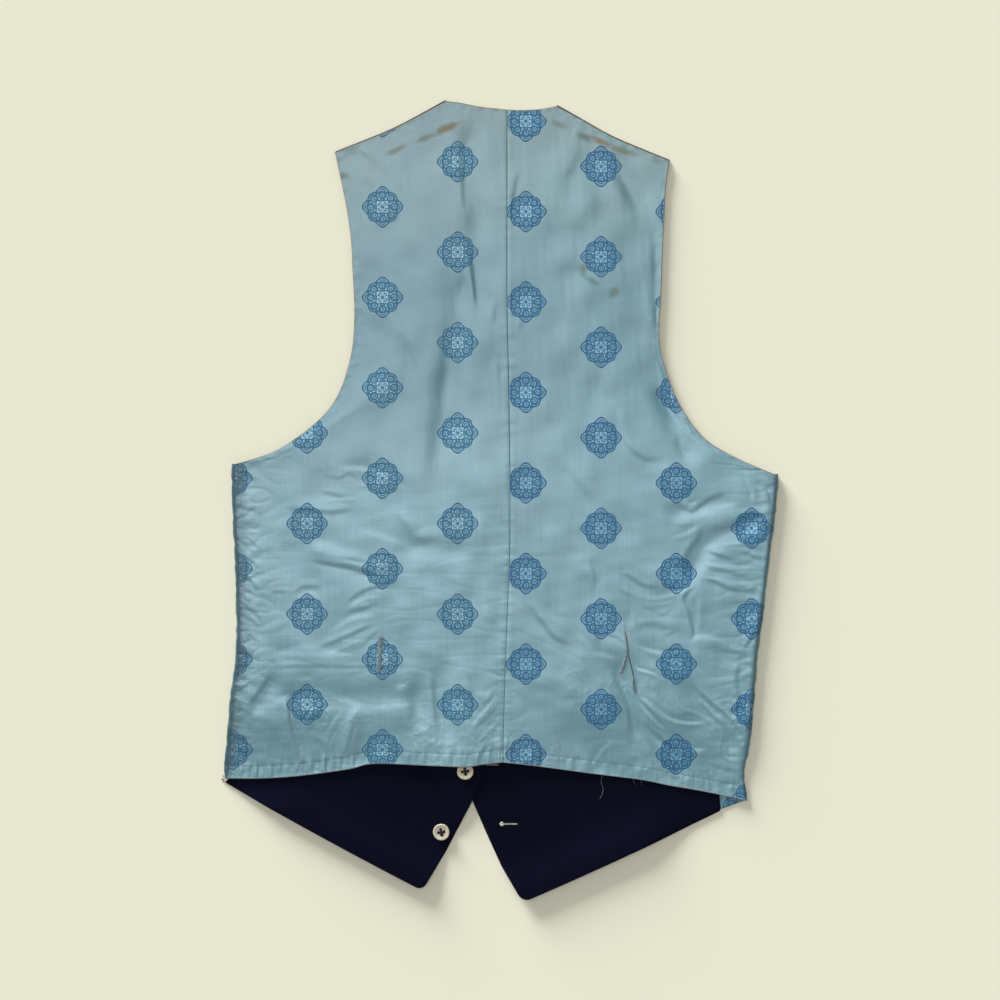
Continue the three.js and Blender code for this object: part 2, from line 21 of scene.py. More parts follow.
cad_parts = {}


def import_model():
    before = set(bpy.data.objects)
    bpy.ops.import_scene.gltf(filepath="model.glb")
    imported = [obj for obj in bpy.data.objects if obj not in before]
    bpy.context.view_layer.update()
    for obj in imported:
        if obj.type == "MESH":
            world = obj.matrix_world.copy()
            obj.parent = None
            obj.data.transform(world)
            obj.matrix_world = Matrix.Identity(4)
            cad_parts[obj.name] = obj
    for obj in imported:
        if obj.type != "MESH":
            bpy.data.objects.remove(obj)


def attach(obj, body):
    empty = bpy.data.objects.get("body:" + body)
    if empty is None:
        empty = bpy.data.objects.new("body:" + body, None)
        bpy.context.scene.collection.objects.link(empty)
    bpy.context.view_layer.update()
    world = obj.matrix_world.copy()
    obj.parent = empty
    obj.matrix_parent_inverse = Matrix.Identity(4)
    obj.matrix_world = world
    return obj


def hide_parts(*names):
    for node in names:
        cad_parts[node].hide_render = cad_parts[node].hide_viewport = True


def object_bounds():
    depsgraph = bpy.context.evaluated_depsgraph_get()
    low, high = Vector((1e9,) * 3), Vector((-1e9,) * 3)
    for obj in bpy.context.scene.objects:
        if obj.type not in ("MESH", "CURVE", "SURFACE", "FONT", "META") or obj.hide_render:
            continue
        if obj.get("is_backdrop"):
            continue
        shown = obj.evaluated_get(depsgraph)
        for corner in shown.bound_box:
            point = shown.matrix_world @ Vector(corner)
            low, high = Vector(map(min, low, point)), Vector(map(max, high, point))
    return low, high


LOG = logging.getLogger("waistcoat")

MM = 0.001
SQUARE = 0.85

BACK_WALL = 1.2
FRONT_WALL = 2.0
SEAM_GAP = 0.3
LAYER_GAP = 0.4
TURNED_LEVEL = BACK_WALL / 2
LOWEST_LEVEL = FRONT_WALL + LAYER_GAP + BACK_WALL / 2
EDGE_LEVEL = LOWEST_LEVEL + 0.1

# Distance that stands for an edge out of reach
FAR = 99.0

Array = np.ndarray
Run = tuple[Array, float]


class Half(Enum):
    """Which half of the waistcoat, seen with its back up."""

    LEFT = -1
    RIGHT = 1


# Side edge from the hem to the underarm: x, y and the width turned under
SIDE = {
    Half.LEFT: (
        (-234.6, -237.2, 1.2), (-234.4, -222.0, 2.6), (-232.5, -204.0, 4.0),
        (-229.5, -170.0, 4.0), (-225.3, -140.3, 4.0), (-223.7, -110.0, 4.0),
        (-224.3, -80.0, 4.0), (-225.3, -51.0, 4.0), (-227.8, 0.0, 4.0), (-227.8, 29.3, 4.0),
    ),
    Half.RIGHT: (
        (210.8, -255.9, 21.0), (208.6, -229.0, 20.0), (212.4, -208.0, 19.0),
        (215.6, -176.0, 17.5), (218.3, -137.7, 15.5), (221.6, -110.0, 13.5),
        (225.6, -80.0, 11.0), (230.0, -43.0, 8.0), (235.4, 2.0, 4.0), (236.3, 19.6, 2.0),
    ),
}

# Armhole edge from the underarm to the shoulder tip
ARMHOLE = {
    Half.LEFT: (
        (-224.3, 30.6), (-212.5, 34.0), (-189.6, 42.5), (-164.1, 59.5), (-146.2, 76.5),
        (-136.0, 93.5), (-130.1, 110.5), (-125.4, 131.8), (-123.9, 161.5), (-125.4, 195.5),
        (-126.7, 221.0), (-130.1, 246.5), (-133.5, 263.5), (-140.3, 295.8),
    ),
    Half.RIGHT: (
        (232.6, 22.0), (204.9, 34.0), (181.1, 46.8), (167.5, 59.5), (155.6, 76.5),
        (147.1, 93.5), (141.1, 110.5), (136.4, 127.5), (135.2, 148.0), (136.9, 174.3),
        (138.1, 208.3), (139.6, 240.0), (141.0, 266.0), (144.1, 289.0),
    ),
}

# Neck edge from the centre seam to the neck point
NECK = {
    Half.LEFT: ((6.0, 332.4), (-17.0, 334.9), (-33.0, 338.0), (-45.9, 339.6)),
    Half.RIGHT: ((6.0, 332.4), (17.0, 332.0), (34.0, 332.8), (48.5, 335.3)),
}

# Shoulder edge from the neck point to the shoulder tip
SHOULDER = {
    Half.LEFT: (
        (-45.9, 339.6), (-85.0, 318.8), (-110.5, 307.7), (-127.0, 301.2), (-140.3, 295.8),
    ),
    Half.RIGHT: (
        (48.5, 335.3), (68.0, 324.7), (93.5, 310.3), (119.0, 299.2), (144.1, 289.0),
    ),
}

# Hem from the centre seam to the side
HEM = {
    Half.LEFT: (
        (2.5, -223.1), (-15.3, -225.0), (-30.0, -227.0), (-59.5, -226.0), (-107.1, -224.6),
        (-129.2, -229.3), (-170.0, -234.9), (-204.0, -237.2), (-234.6, -237.2),
    ),
    Half.RIGHT: (
        (2.5, -223.1), (25.5, -225.7), (51.0, -229.1), (85.0, -233.8), (119.0, -238.0),
        (144.5, -243.1), (170.0, -247.4), (195.5, -252.5), (210.8, -255.9),
    ),
}

# Centre back seam below and above the underarm level
LOWER_SEAM = ((2.5, -223.1), (4.2, -153.0), (6.8, -85.0), (8.5, -40.0), (8.5, 36.0))
UPPER_SEAM = ((8.5, 36.0), (7.6, 90.0), (6.0, 170.0), (6.0, 250.0), (6.0, 332.4))

# How high the back lies between its edges, up the body: y, level
BODY = ((-260.0, 6.3), (40.0, 6.3), (110.0, 5.5), (200.0, 4.6), (340.0, 4.0))

# Largest folds of the back: x0, y0, x1, y1, width, rise
FOLDS = (
    (-34, 182, -54, 30, 26, -1.3),
    (-26, 318, -14, 165, 22, -0.9),
    (108, 276, 134, 215, 26, -0.9),
    (134, 92, 162, 36, 22, -1.5),
    (-81, -42, -28, -43, 22, -1.0),
    (180, -31, 160, -66, 20, -1.9),
    (182, -32, 222, -18, 18, -1.3),
    (146, -12, 195, 0, 18, -1.2),
    (-191, -166, -68, -168, 26, -1.6),
    (-49, -141, -43, -203, 22, -1.3),
    (101, -139, 118, -206, 24, -2.0),
    (156, -159, 205, -215, 20, -1.8),
    (-123, -178, -130, -214, 14, 1.0),
    (-190, -150, -209, -180, 16, -1.3),
    (-176, -166, -165, -216, 14, -1.2),
    (-157, -43, -98, -58, 16, 0.9),
)

# Inner edge of each front from the tip of its point up to the neck point
FRONT_INNER = {
    Half.LEFT: (
        (-66.3, -331.8), (-56.7, -315.9), (-45.9, -298.4), (-32.3, -272.0), (-23.2, -254.6),
        (-12.8, -227.0), (-6.8, -170.0), (-6.8, 8.0), (-14.0, 40.0), (-26.0, 100.0),
        (-36.0, 170.0), (-43.0, 250.0), (-46.3, 340.5),
    ),
    Half.RIGHT: (
        (19.5, -341.9), (8.5, -323.4), (1.7, -312.0), (-11.9, -282.2), (-23.2, -256.0),
        (-28.0, -238.0), (-32.3, -224.4), (-37.5, -190.0), (-38.0, -150.0), (-38.0, 8.0),
        (-32.0, 35.0), (-18.0, 80.0), (4.0, 150.0), (26.0, 230.0), (48.9, 336.2),
    ),
}

# Outer corner of each front's hem, the radius of its tip and the bow of the hem
FRONT_CORNER = {Half.LEFT: (-233.8, -240.6), Half.RIGHT: (186.8, -265.0)}
FRONT_TIP_RADIUS = {Half.LEFT: 6.5, Half.RIGHT: 8.0}
FRONT_HEM_BOW = 1.2

# Middle of each button and the turn of its holes in degrees: x, y, turn
BUTTONS = (
    (-50.0, -282.8, 10.0), (-29.6, -231.0, 8.0), (-22.5, -176.2, 4.0), (-22.5, -121.8, 31.0),
    (-22.5, -67.4, 14.0), (-22.5, -13.0, 40.0),
)
# Eyelet of each buttonhole: x, y
BUTTONHOLES = (
    (1.5, -276.1), (-14.6, -225.5), (-21.5, -170.0), (-21.5, -115.6), (-21.5, -61.2),
    (-21.5, -6.8),
)


@dataclass(frozen=True)
class Flank:
    """One side of a fold, where the silk steps up or down across a line.

    Lengths are squares of the drawing grid.

    Attributes:
        line: Points of the line.
        width: Distance from the line in which most of the step is made.
        slope: Slope at the line, more than nothing where it rises away from the
            folds' lit side, and so faces it.
    """

    line: tuple[tuple[float, float], ...]
    width: float
    slope: float


# Way towards the side from which the folds are lit
LIT_SIDE = (-0.50, 0.866)

# Flanks of the finer folds as slope, width and line, region by region
LEFT_SIDE_FLANKS = (
    (-0.09, 5, (-215, -8), (-190, -11), (-165, -12), (-145, -8)),
    (-0.05, 3.5, (-180, 8), (-168, 6), (-155, 2)),
    (-0.05, 3, (-175, 24), (-160, 22), (-150, 27), (-142, 18)),
    (-0.05, 3, (-142, 12), (-120, 14)),
    (0.06, 4, (-165, 33), (-135, 31), (-110, 22), (-90, 6)),
    (0.05, 3, (-180, 2), (-160, 1), (-140, 2)),
    (-0.05, 8, (-104, -12), (-95, -25), (-84, -40), (-60, -40)),
    (0.04, 7, (-140, -30), (-110, -38), (-85, -52)),
    (-0.12, 3.2, (-190, -60), (-165, -65), (-145, -69), (-118, -78)),
    (0.08, 2.2, (-165, -60), (-140, -64), (-112, -76)),
    (-0.08, 3.5, (-208, -93), (-195, -87), (-178, -87)),
    (0.05, 2.6, (-203, -97), (-190, -93), (-180, -97)),
    (-0.06, 2.6, (-205, -98), (-192, -105), (-184, -107)),
    (-0.04, 4, (-234, -98), (-222, -91), (-210, -95)),
    (-0.09, 3.2, (-155, -104), (-138, -92), (-116, -85)),
    (0.06, 2.6, (-152, -108), (-135, -98), (-118, -97)),
    (-0.11, 3.6, (-155, -113), (-138, -109), (-124, -105)),
    (0.05, 4, (-170, -132), (-148, -118), (-122, -115)),
    (-0.13, 3.4, (-182, -148), (-168, -143), (-150, -135), (-125, -124)),
    (0.06, 3, (-175, -155), (-155, -146), (-135, -137)),
    (-0.07, 2.2, (-140, -148), (-128, -136), (-120, -130)),
    (0.04, 6, (-245, -153), (-200, -154), (-150, -154), (-100, -150)),
    (-0.07, 2.6, (-250, -168), (-215, -167), (-190, -166), (-150, -167), (-90, -166)),
    (-0.13, 2.4, (-229, -174), (-240, -190), (-252, -207)),
    (0.06, 5, (-228, -205), (-212, -196)),
    (-0.12, 2.6, (-212, -196), (-211, -218), (-206, -240), (-199, -258)),
    (0.11, 2.4, (-204, -178), (-204, -200), (-203, -222)),
    (0.06, 3.5, (-200, -180), (-192, -178), (-188, -184)),
    (0.15, 2.6, (-174, -198), (-186, -208), (-194, -220), (-199, -230)),
    (-0.06, 2, (-197, -200), (-198, -212)),
    (-0.08, 2.8, (-184, -222), (-196, -234)),
    (0.11, 2.2, (-160, -212), (-167, -222), (-174, -235)),
    (-0.07, 1.8, (-163, -226), (-171, -238)),
    (0.12, 3, (-142, -205), (-151, -218), (-158, -236)),
    (-0.11, 2.4, (-147, -222), (-151, -238), (-156, -258)),
    (0.07, 1.8, (-143, -225), (-147, -240), (-147, -250)),
    (-0.07, 3, (-190, -238), (-178, -243), (-169, -258)),
    (0.09, 5, (-105, -188), (-90, -186)),
    (-0.07, 2, (-233, -244), (-232, -262)),
    (0.05, 6, (-222, -228), (-216, -250)),
    (-0.03, 1.5, (-101, -240), (-97, -258)),
    (-0.07, 15, (-90, -176), (-89, -200), (-86, -226)),
    (-0.05, 3, (-262, -170), (-252, -163), (-240, -160)),
)
LEFT_EDGE_FLANKS = (
    (-0.08, 3, (-262, 30), (-250, 24), (-244, 16)),
    (0.06, 2.5, (-262, 12), (-250, 8), (-242, 10)),
    (-0.07, 2.5, (-262, -6), (-252, -10), (-245, -6)),
    (0.06, 2, (-260, -22), (-250, -30), (-240, -30)),
    (-0.07, 2, (-256, -34), (-248, -42), (-240, -50)),
    (0.07, 1.8, (-258, -48), (-250, -54), (-246, -64)),
    (-0.08, 2, (-256, -58), (-248, -62), (-240, -70)),
    (0.06, 2.4, (-260, -70), (-250, -74), (-243, -72)),
    (-0.08, 2.5, (-258, -76), (-248, -82), (-243, -92)),
    (0.05, 2, (-262, -88), (-252, -94), (-247, -104)),
    (-0.07, 2, (-262, -98), (-252, -100), (-242, -97)),
    (-0.07, 2.5, (-258, -106), (-246, -112), (-237, -124)),
    (0.06, 2.2, (-256, -118), (-246, -128), (-242, -142)),
    (-0.06, 2.2, (-262, -126), (-250, -134), (-246, -146)),
    (0.06, 2.4, (-262, -142), (-250, -148), (-240, -146)),
    (-0.08, 3, (-260, -150), (-250, -156), (-238, -158)),
    (0.06, 2.4, (-264, -176), (-254, -172), (-248, -178)),
    (-0.09, 3, (-266, -192), (-254, -186), (-246, -178)),
    (0.07, 2.4, (-266, -198), (-256, -196), (-248, -190)),
    (-0.08, 2.5, (-268, -208), (-258, -210), (-248, -216)),
    (0.05, 2, (-266, -222), (-256, -226), (-250, -236)),
    (-0.07, 2.5, (-268, -236), (-258, -240), (-246, -236)),
    (-0.06, 2, (-268, -252), (-258, -250), (-250, -256)),
)
MIDDLE_FLANKS = (
    (-0.08, 6, (-68, -168), (-67, -185), (-65, -210), (-62, -235)),
    (0.05, 4, (-52, -180), (-49, -205), (-45, -235)),
    (-0.06, 3, (-28, -185), (-15, -203), (-4, -188)),
    (-0.04, 4, (-34, -178), (-24, -196)),
    (0.1, 2.4, (-4, -197), (-15, -210), (-29, -227)),
    (-0.09, 2.4, (-1, -205), (-14, -218), (-29, -233)),
    (0.06, 3, (-24, -237), (-10, -229), (1, -213)),
    (-0.13, 2.6, (-12, -243), (-18, -252), (-21, -263)),
    (-0.07, 1.6, (-8, -245), (-12, -262)),
    (-0.07, 1.7, (-20, -171), (0, -170), (20, -169), (42, -170)),
    (-0.03, 12, (4, -182), (50, -188), (92, -205)),
    (-0.08, 6, (28, -105), (42, -122), (55, -138), (74, -146)),
    (0.05, 4, (45, -108), (75, -132), (92, -150)),
    (-0.05, 5, (88, -62), (95, -75), (95, -90)),
    (-0.06, 6, (92, -118), (97, -135), (102, -148)),
    (-0.03, 4, (-55, -105), (-45, -122)),
    (-0.03, 6, (-20, -108), (-8, -124)),
    (-0.05, 2, (34, -236), (33, -248)),
    (-0.06, 1.5, (13, -250), (13, -263)),
    (0.1, 3, (112, -241), (100, -253), (90, -268)),
    (-0.06, 2, (104, -258), (98, -270)),
    (0.06, 1.6, (80, -258), (72, -268)),
    (-0.06, 5, (52, -258), (66, -262)),
    (-0.07, 2.2, (-8, -171), (2, -176)),
    (0.03, 2, (-120, -122), (-100, -115), (-85, -118)),
)
UPPER_FLANKS = (
    (-0.07, 3.5, (-38, 368), (-38, 330), (-37, 300), (-36, 285)),
    (-0.1, 3, (-35, 266), (-30, 245), (-27, 220), (-23, 190)),
    (0.05, 4, (-31, 352), (-30, 318)),
    (-0.05, 5, (-38, 232), (-41, 205)),
    (-0.04, 10, (-50, 170), (-56, 140), (-60, 110), (-63, 80), (-68, 45), (-73, 12)),
    (0.05, 12, (-34, 100), (-32, 60), (-26, 20), (-20, -16)),
    (-0.07, 3, (19, 332), (13, 305), (11, 283)),
    (-0.07, 3.6, (-6, 197), (-5, 176)),
    (-0.06, 2.6, (-3, 142), (0, 120)),
    (-0.05, 6, (78, 358), (74, 335), (62, 318)),
    (0.06, 4, (80, 380), (70, 362)),
    (-0.07, 8, (105, 336), (118, 322), (127, 305), (129, 290)),
    (-0.06, 6, (146, 302), (152, 270), (154, 230), (153, 195), (155, 165)),
    (-0.09, 2.6, (155, 200), (156, 172)),
    (0.05, 11, (84, 312), (104, 300)),
    (0.04, 8, (62, 257), (94, 247)),
    (-0.04, 6, (56, 274), (88, 272)),
    (-0.04, 8, (45, 228), (75, 233), (96, 224)),
    (-0.07, 4, (117, 95), (120, 72), (129, 53), (146, 41), (166, 42)),
    (-0.05, 7, (56, 40), (76, 20), (92, 2), (101, -12)),
    (-0.03, 10, (28, 98), (44, 80), (62, 86)),
    (-0.03, 6, (-14, -33), (10, -38), (32, -36)),
    (-0.04, 6, (-116, 200), (-100, 180), (-88, 150)),
    (0.04, 6, (-98, 172), (-86, 140), (-76, 108)),
    (-0.05, 4, (-168, 92), (-154, 118), (-148, 148)),
    (0.05, 9, (100, 130), (106, 105)),
    (-0.05, 3.5, (158, 118), (172, 92), (190, 72)),
    (0.06, 3, (152, 104), (170, 82)),
    (-0.07, 3, (180, 62), (184, 52), (190, 46)),
    (-0.05, 4, (22, 180), (20, 168)),
    (-0.05, 3.5, (-140, 350), (-128, 340)),
    (0.04, 6, (-136, 330), (-118, 320), (-116, 300)),
)
RIGHT_SIDE_FLANKS = (
    (-0.12, 3.4, (170, -5), (180, -6), (191, -12), (201, -5), (212, 2), (229, 8)),
    (0.09, 2.5, (176, 3), (184, -1), (191, -5), (199, 0)),
    (-0.04, 9, (158, 36), (170, 18), (186, 9), (204, 12)),
    (0.05, 5, (193, -18), (214, -9), (242, -2)),
    (-0.07, 5, (208, -28), (226, -27), (242, -19), (264, -12)),
    (-0.11, 4.6, (204, -27), (197, -40), (188, -53), (182, -70)),
    (0.08, 3.6, (170, -38), (188, -33), (200, -24)),
    (-0.05, 4, (168, -20), (180, -26), (196, -24)),
    (0.08, 4.5, (238, -39), (252, -31), (262, -27)),
    (0.09, 3, (206, -45), (226, -44), (250, -41)),
    (-0.11, 3.8, (205, -50), (218, -55), (236, -61)),
    (-0.07, 3, (240, -51), (250, -55), (261, -60)),
    (-0.06, 2.6, (246, -53), (262, -46)),
    (0.1, 3, (200, -62), (220, -65), (240, -68), (262, -66)),
    (-0.07, 3.6, (204, -68), (224, -71), (240, -76), (254, -77)),
    (0.1, 2.2, (200, -76), (220, -79), (240, -83), (262, -80)),
    (-0.12, 3.8, (203, -80), (215, -82), (230, -89), (246, -91), (262, -86)),
    (-0.08, 3.8, (120, -73), (130, -77), (142, -85), (159, -88)),
    (0.05, 5, (120, -84), (136, -93), (156, -98), (180, -91), (198, -82)),
    (-0.05, 3, (119, -88), (129, -97)),
    (-0.14, 3, (196, -86), (184, -97), (188, -110), (192, -125), (193, -136), (187, -141)),
    (0.06, 4, (198, -98), (198, -118), (198, -132)),
    (-0.05, 2.5, (140, -105), (156, -112), (163, -115), (174, -107)),
    (0.05, 2.5, (145, -103), (160, -104), (176, -100)),
    (-0.06, 6, (130, -131), (150, -124), (165, -128), (186, -126)),
    (-0.05, 3, (162, -138), (181, -129)),
    (0.1, 2.8, (132, -142), (148, -150), (168, -153), (190, -149)),
    (0.06, 5, (186, -141), (206, -137), (236, -146)),
    (-0.05, 6, (194, -150), (215, -148), (238, -155), (254, -162)),
    (-0.15, 3, (258, -124), (252, -138), (243, -150)),
    (0.1, 2, (132, -155), (136, -168), (149, -172), (161, -178)),
    (-0.06, 2.8, (148, -155), (165, -163), (184, -168), (200, -176)),
    (0.05, 2, (164, -160), (180, -165), (193, -173)),
    (-0.1, 2.2, (132, -164), (136, -178), (136, -196)),
    (-0.14, 1.8, (137, -197), (145, -204), (155, -215), (167, -229)),
    (0.12, 2, (141, -205), (150, -216), (165, -231)),
    (0.14, 2.8, (142, -196), (155, -208), (168, -218), (186, -223), (208, -223)),
    (-0.1, 4.5, (112, -164), (116, -182), (124, -198), (129, -215), (133, -242)),
    (0.09, 3.2, (139, -214), (144, -232), (153, -252)),
    (0.07, 4, (117, -174), (125, -186), (128, -176)),
    (-0.14, 3.4, (145, -222), (155, -233), (166, -243), (177, -252), (183, -264)),
    (-0.06, 5, (160, -240), (174, -262), (180, -282)),
    (0.08, 5, (180, -236), (194, -250), (208, -248)),
    (-0.12, 2.6, (190, -182), (200, -192), (212, -204), (228, -217), (240, -232), (248, -249)),
    (0.1, 2.4, (198, -196), (210, -210), (222, -222)),
    (-0.08, 2.4, (200, -202), (214, -216), (226, -230)),
    (0.09, 2, (180, -207), (195, -212), (210, -220), (221, -233)),
    (-0.06, 3, (176, -215), (194, -215), (206, -221)),
    (-0.05, 2, (204, -240), (221, -237)),
    (0.09, 4, (228, -219), (246, -212)),
    (-0.06, 4, (240, -162), (237, -180), (240, -200)),
    (-0.13, 2.4, (254, -205), (251, -225), (248, -240), (246, -256)),
    (0.08, 1.8, (221, -242), (223, -254), (233, -261)),
    (-0.05, 6, (208, -263), (226, -269), (246, -276)),
    (-0.06, 2.2, (208, -274), (213, -292)),
    (0.07, 2.4, (130, -112), (134, -126)),
    (0.06, 4, (90, -152), (106, -156), (119, -160)),
    (0.06, 4, (84, -201), (100, -195), (112, -189)),
    (-0.08, 1.8, (151, -262), (159, -281)),
    (-0.06, 1.8, (165, -262), (173, -284)),
    (-0.06, 2.2, (104, -134), (118, -138), (126, -146)),
    (-0.07, 3, (259, 14), (268, 6), (272, -10)),
    (0.06, 3, (244, 22), (252, 10), (252, -4)),
)

# How the flanks' widths and slopes are drawn, and how far each one reaches
FLANK_WIDTH = 0.56
FLANK_SLOPE = 0.92
NARROW_FLANK_SLOPE = 0.9
UPPER_SLOPE = 0.62
UPPER_WIDTH = 1.5
FLANK_STEEPNESS = 1.2
FLANK_REACH = 2.6
FLANK_SAMPLE = 5.0
FLANK_END_SHARE = 0.25
LEAST_FACING = 0.45
FOLD_STEEPNESS = 1.4

# Where the left front climbs onto the right one, and how high
OVERLAP_RISE = FRONT_WALL + 0.5
OVERLAP_FOOT = -306.0
OVERLAP_LENGTH = 30.0
OVERLAP_REACH = 30.0
OVERLAP_WIDTH = 21.0


def shaped(rows: Sequence[tuple], slope: float = 1.0, width: float = 1.0) -> tuple[Flank, ...]:
    """Flanks of one region.

    Args:
        rows: Their slopes, widths and lines.
        slope: What their slopes are multiplied by.
        width: What their widths are multiplied by.

    Returns:
        The flanks.
    """
    flanks = []
    for steep, wide, *line in rows:
        narrow = FLANK_SLOPE + NARROW_FLANK_SLOPE / (wide * width)
        flanks.append(Flank(tuple(line), wide * width * FLANK_WIDTH, steep * slope * narrow))
    return tuple(flanks)


FLANKS = (
    shaped(LEFT_SIDE_FLANKS + LEFT_EDGE_FLANKS + MIDDLE_FLANKS + RIGHT_SIDE_FLANKS)
    + shaped(UPPER_FLANKS, UPPER_SLOPE, UPPER_WIDTH)
)


def ease(value: Array) -> Array:
    """Cubic ease from 0 to 1.

    Args:
        value: Numbers, kept within 0 and 1.

    Returns:
        The eased numbers.
    """
    t = np.clip(value, 0.0, 1.0)
    return t * t * (3.0 - 2.0 * t)


def bell(distance: Array, width: float) -> Array:
    """Bell curve over a distance.

    Args:
        distance: Distances from its middle.
        width: Distance at which it has fallen to about a third.

    Returns:
        Its heights, 1 in the middle.
    """
    return np.exp(-((distance / width) ** 2))


class Path2D:
    """A line in the plane that is read by its share of length."""

    def __init__(self, rows: Sequence[Sequence[float]], smooth: bool) -> None:
        """Measures the line.

        Args:
            rows: Its points, x and y first.
            smooth: Whether it runs in a smooth curve through them.
        """
        points = np.array([[row[0], row[1]] for row in rows], dtype=float)
        self.points = self._curve(points) if smooth else points
        steps = np.hypot(*np.diff(self.points, axis=0).T)
        self.reach = np.concatenate([[0.0], np.cumsum(steps)])

    @staticmethod
    def _curve(points: Array, steps: int = 24) -> Array:
        """Runs a smooth curve through points.

        Args:
            points: The points, one a row.
            steps: Steps between two points.

        Returns:
            Points along the curve.
        """
        padded = np.vstack([points[:1], points, points[-1:]])
        t = np.linspace(0.0, 1.0, steps, endpoint=False)[:, None]
        runs = []
        for i in range(len(points) - 1):
            a, b, c, d = padded[i : i + 4]
            v0 = (c - a) / 2
            v1 = (d - b) / 2
            cubic = (2 * b - 2 * c + v0 + v1) * t**3
            runs.append(cubic + (-3 * b + 3 * c - 2 * v0 - v1) * t**2 + v0 * t + b)
        return np.vstack([*runs, points[-1:]])

    @property
    def length(self) -> float:
        """Length of the line."""
        return float(self.reach[-1])

    def at(self, share: Array) -> Array:
        """Reads the line.

        Args:
            share: Shares of its length from 0 to 1.

        Returns:
            The points there, one a row.
        """
        reach = np.asarray(share) * self.length
        x = np.interp(reach, self.reach, self.points[:, 0])
        y = np.interp(reach, self.reach, self.points[:, 1])
        return np.stack([x, y], axis=-1)

    def resampled(self, step: float) -> Array:
        """Points along the line a step apart.

        Args:
            step: The step.

        Returns:
            The points, one a row.
        """
        return self.at(np.linspace(0.0, 1.0, max(2, round(self.length / step) + 1)))

    def gap(self, x: Array, y: Array) -> Array:
        """Distance from points to the line.

        Args:
            x: The points' x.
            y: The points' y.

        Returns:
            The distances.
        """
        best = np.full(np.shape(x), np.inf)
        for a, b in zip(self.points[:-1], self.points[1:]):
            run = b - a
            size = float(run @ run)
            if size < 1e-9:
                continue
            t = np.clip(((x - a[0]) * run[0] + (y - a[1]) * run[1]) / size, 0.0, 1.0)
            best = np.minimum(best, np.hypot(x - a[0] - t * run[0], y - a[1] - t * run[1]))
        return best


def graded(length: float, coarse: float, fine: float, blend: float, ends: tuple[bool, bool]) -> Array:
    """Stations along a length that close up towards its ends.

    Args:
        length: The length.
        coarse: Step in the middle.
        fine: Step at a fine end.
        blend: How far the fine step reaches in.
        ends: Whether the start and the end are fine.

    Returns:
        Shares of the length from 0 to 1, an odd number of them.
    """
    at = [0.0]
    while at[-1] < length:
        near = min(
            at[-1] if ends[0] else math.inf,
            length - at[-1] if ends[1] else math.inf,
        )
        step = fine + (coarse - fine) * min(1.0, max(0.0, near / blend - 0.4))
        at.append(at[-1] + step)
    count = len(at) - 1
    even = np.linspace(0, count, count + count % 2 + 1)
    return np.interp(even, np.arange(count + 1), np.array(at) / at[-1])


def fold_rise(x: Array, y: Array) -> Array:
    """Rise of the largest folds, those that the solids have.

    Args:
        x: The points' x.
        y: The points' y.

    Returns:
        The rise at each point.
    """
    total = np.zeros(np.shape(x))
    for x0, y0, x1, y1, width, rise in FOLDS:
        dx, dy = x1 - x0, y1 - y0
        length = math.hypot(dx, dy)
        along = ((x - x0) * dx + (y - y0) * dy) / length
        across = 2 * ((x - x0) * dy - (y - y0) * dx) / length / width
        end = np.minimum(along, length - along) + width / 2
        total += rise * ease(end / width) * np.exp(-across * across * FOLD_STEEPNESS)
    return total


def flank_rise(x: Array, y: Array, flanks: Iterable[Flank]) -> Array:
    """Rise of the listed flanks.

    Args:
        x: The points' x.
        y: The points' y.
        flanks: The flanks.

    Returns:
        The rise at each point.
    """
    total = np.zeros(x.size)
    flat_x, flat_y = x.ravel(), y.ravel()
    for flank in flanks:
        path = Path2D(flank.line, len(flank.line) > 2).resampled(FLANK_SAMPLE) * SQUARE
        width = flank.width * SQUARE
        low, high = path.min(axis=0) - 4 * width, path.max(axis=0) + 4 * width
        near = np.flatnonzero(
            (flat_x > low[0]) & (flat_x < high[0]) & (flat_y > low[1]) & (flat_y < high[1])
        )
        across, along, length = side_of(path, flat_x[near], flat_y[near])
        chord = path[-1] - path[0]
        facing = (-chord[1] * LIT_SIDE[0] + chord[0] * LIT_SIDE[1]) / math.hypot(*chord)
        gain = math.copysign(1.0 / max(abs(facing), LEAST_FACING), facing)
        t = across / width
        step = np.tanh(FLANK_STEEPNESS * t) * bell(t, FLANK_REACH)
        inset = np.minimum(along, length - along) + width
        end = ease(inset / (2 * width + FLANK_END_SHARE * length))
        total[near] -= flank.slope * gain * width / FLANK_STEEPNESS * step * end
    return total.reshape(x.shape)


def side_of(path: Array, x: Array, y: Array) -> tuple[Array, Array, float]:
    """Where points lie beside a line.

    Args:
        path: The line's points, one a row.
        x: The points' x.
        y: The points' y.

    Returns:
        Distance to its left, distance along it, and its length.
    """
    best = np.full(x.shape, np.inf)
    across = np.zeros(x.shape)
    along = np.zeros(x.shape)
    reach = 0.0
    last = len(path) - 2
    for i, (a, b) in enumerate(zip(path[:-1], path[1:])):
        run = b - a
        size = math.hypot(*run)
        t = ((x - a[0]) * run[0] + (y - a[1]) * run[1]) / size
        inside = np.clip(t, -np.inf if i == 0 else 0.0, np.inf if i == last else size)
        side = ((y - a[1]) * run[0] - (x - a[0]) * run[1]) / size
        gap = np.hypot(t - inside, side)
        closer = gap < best
        best = np.where(closer, gap, best)
        across = np.where(closer, np.copysign(gap, side), across)
        along = np.where(closer, reach + inside, along)
        reach += size
    return across, along, reach


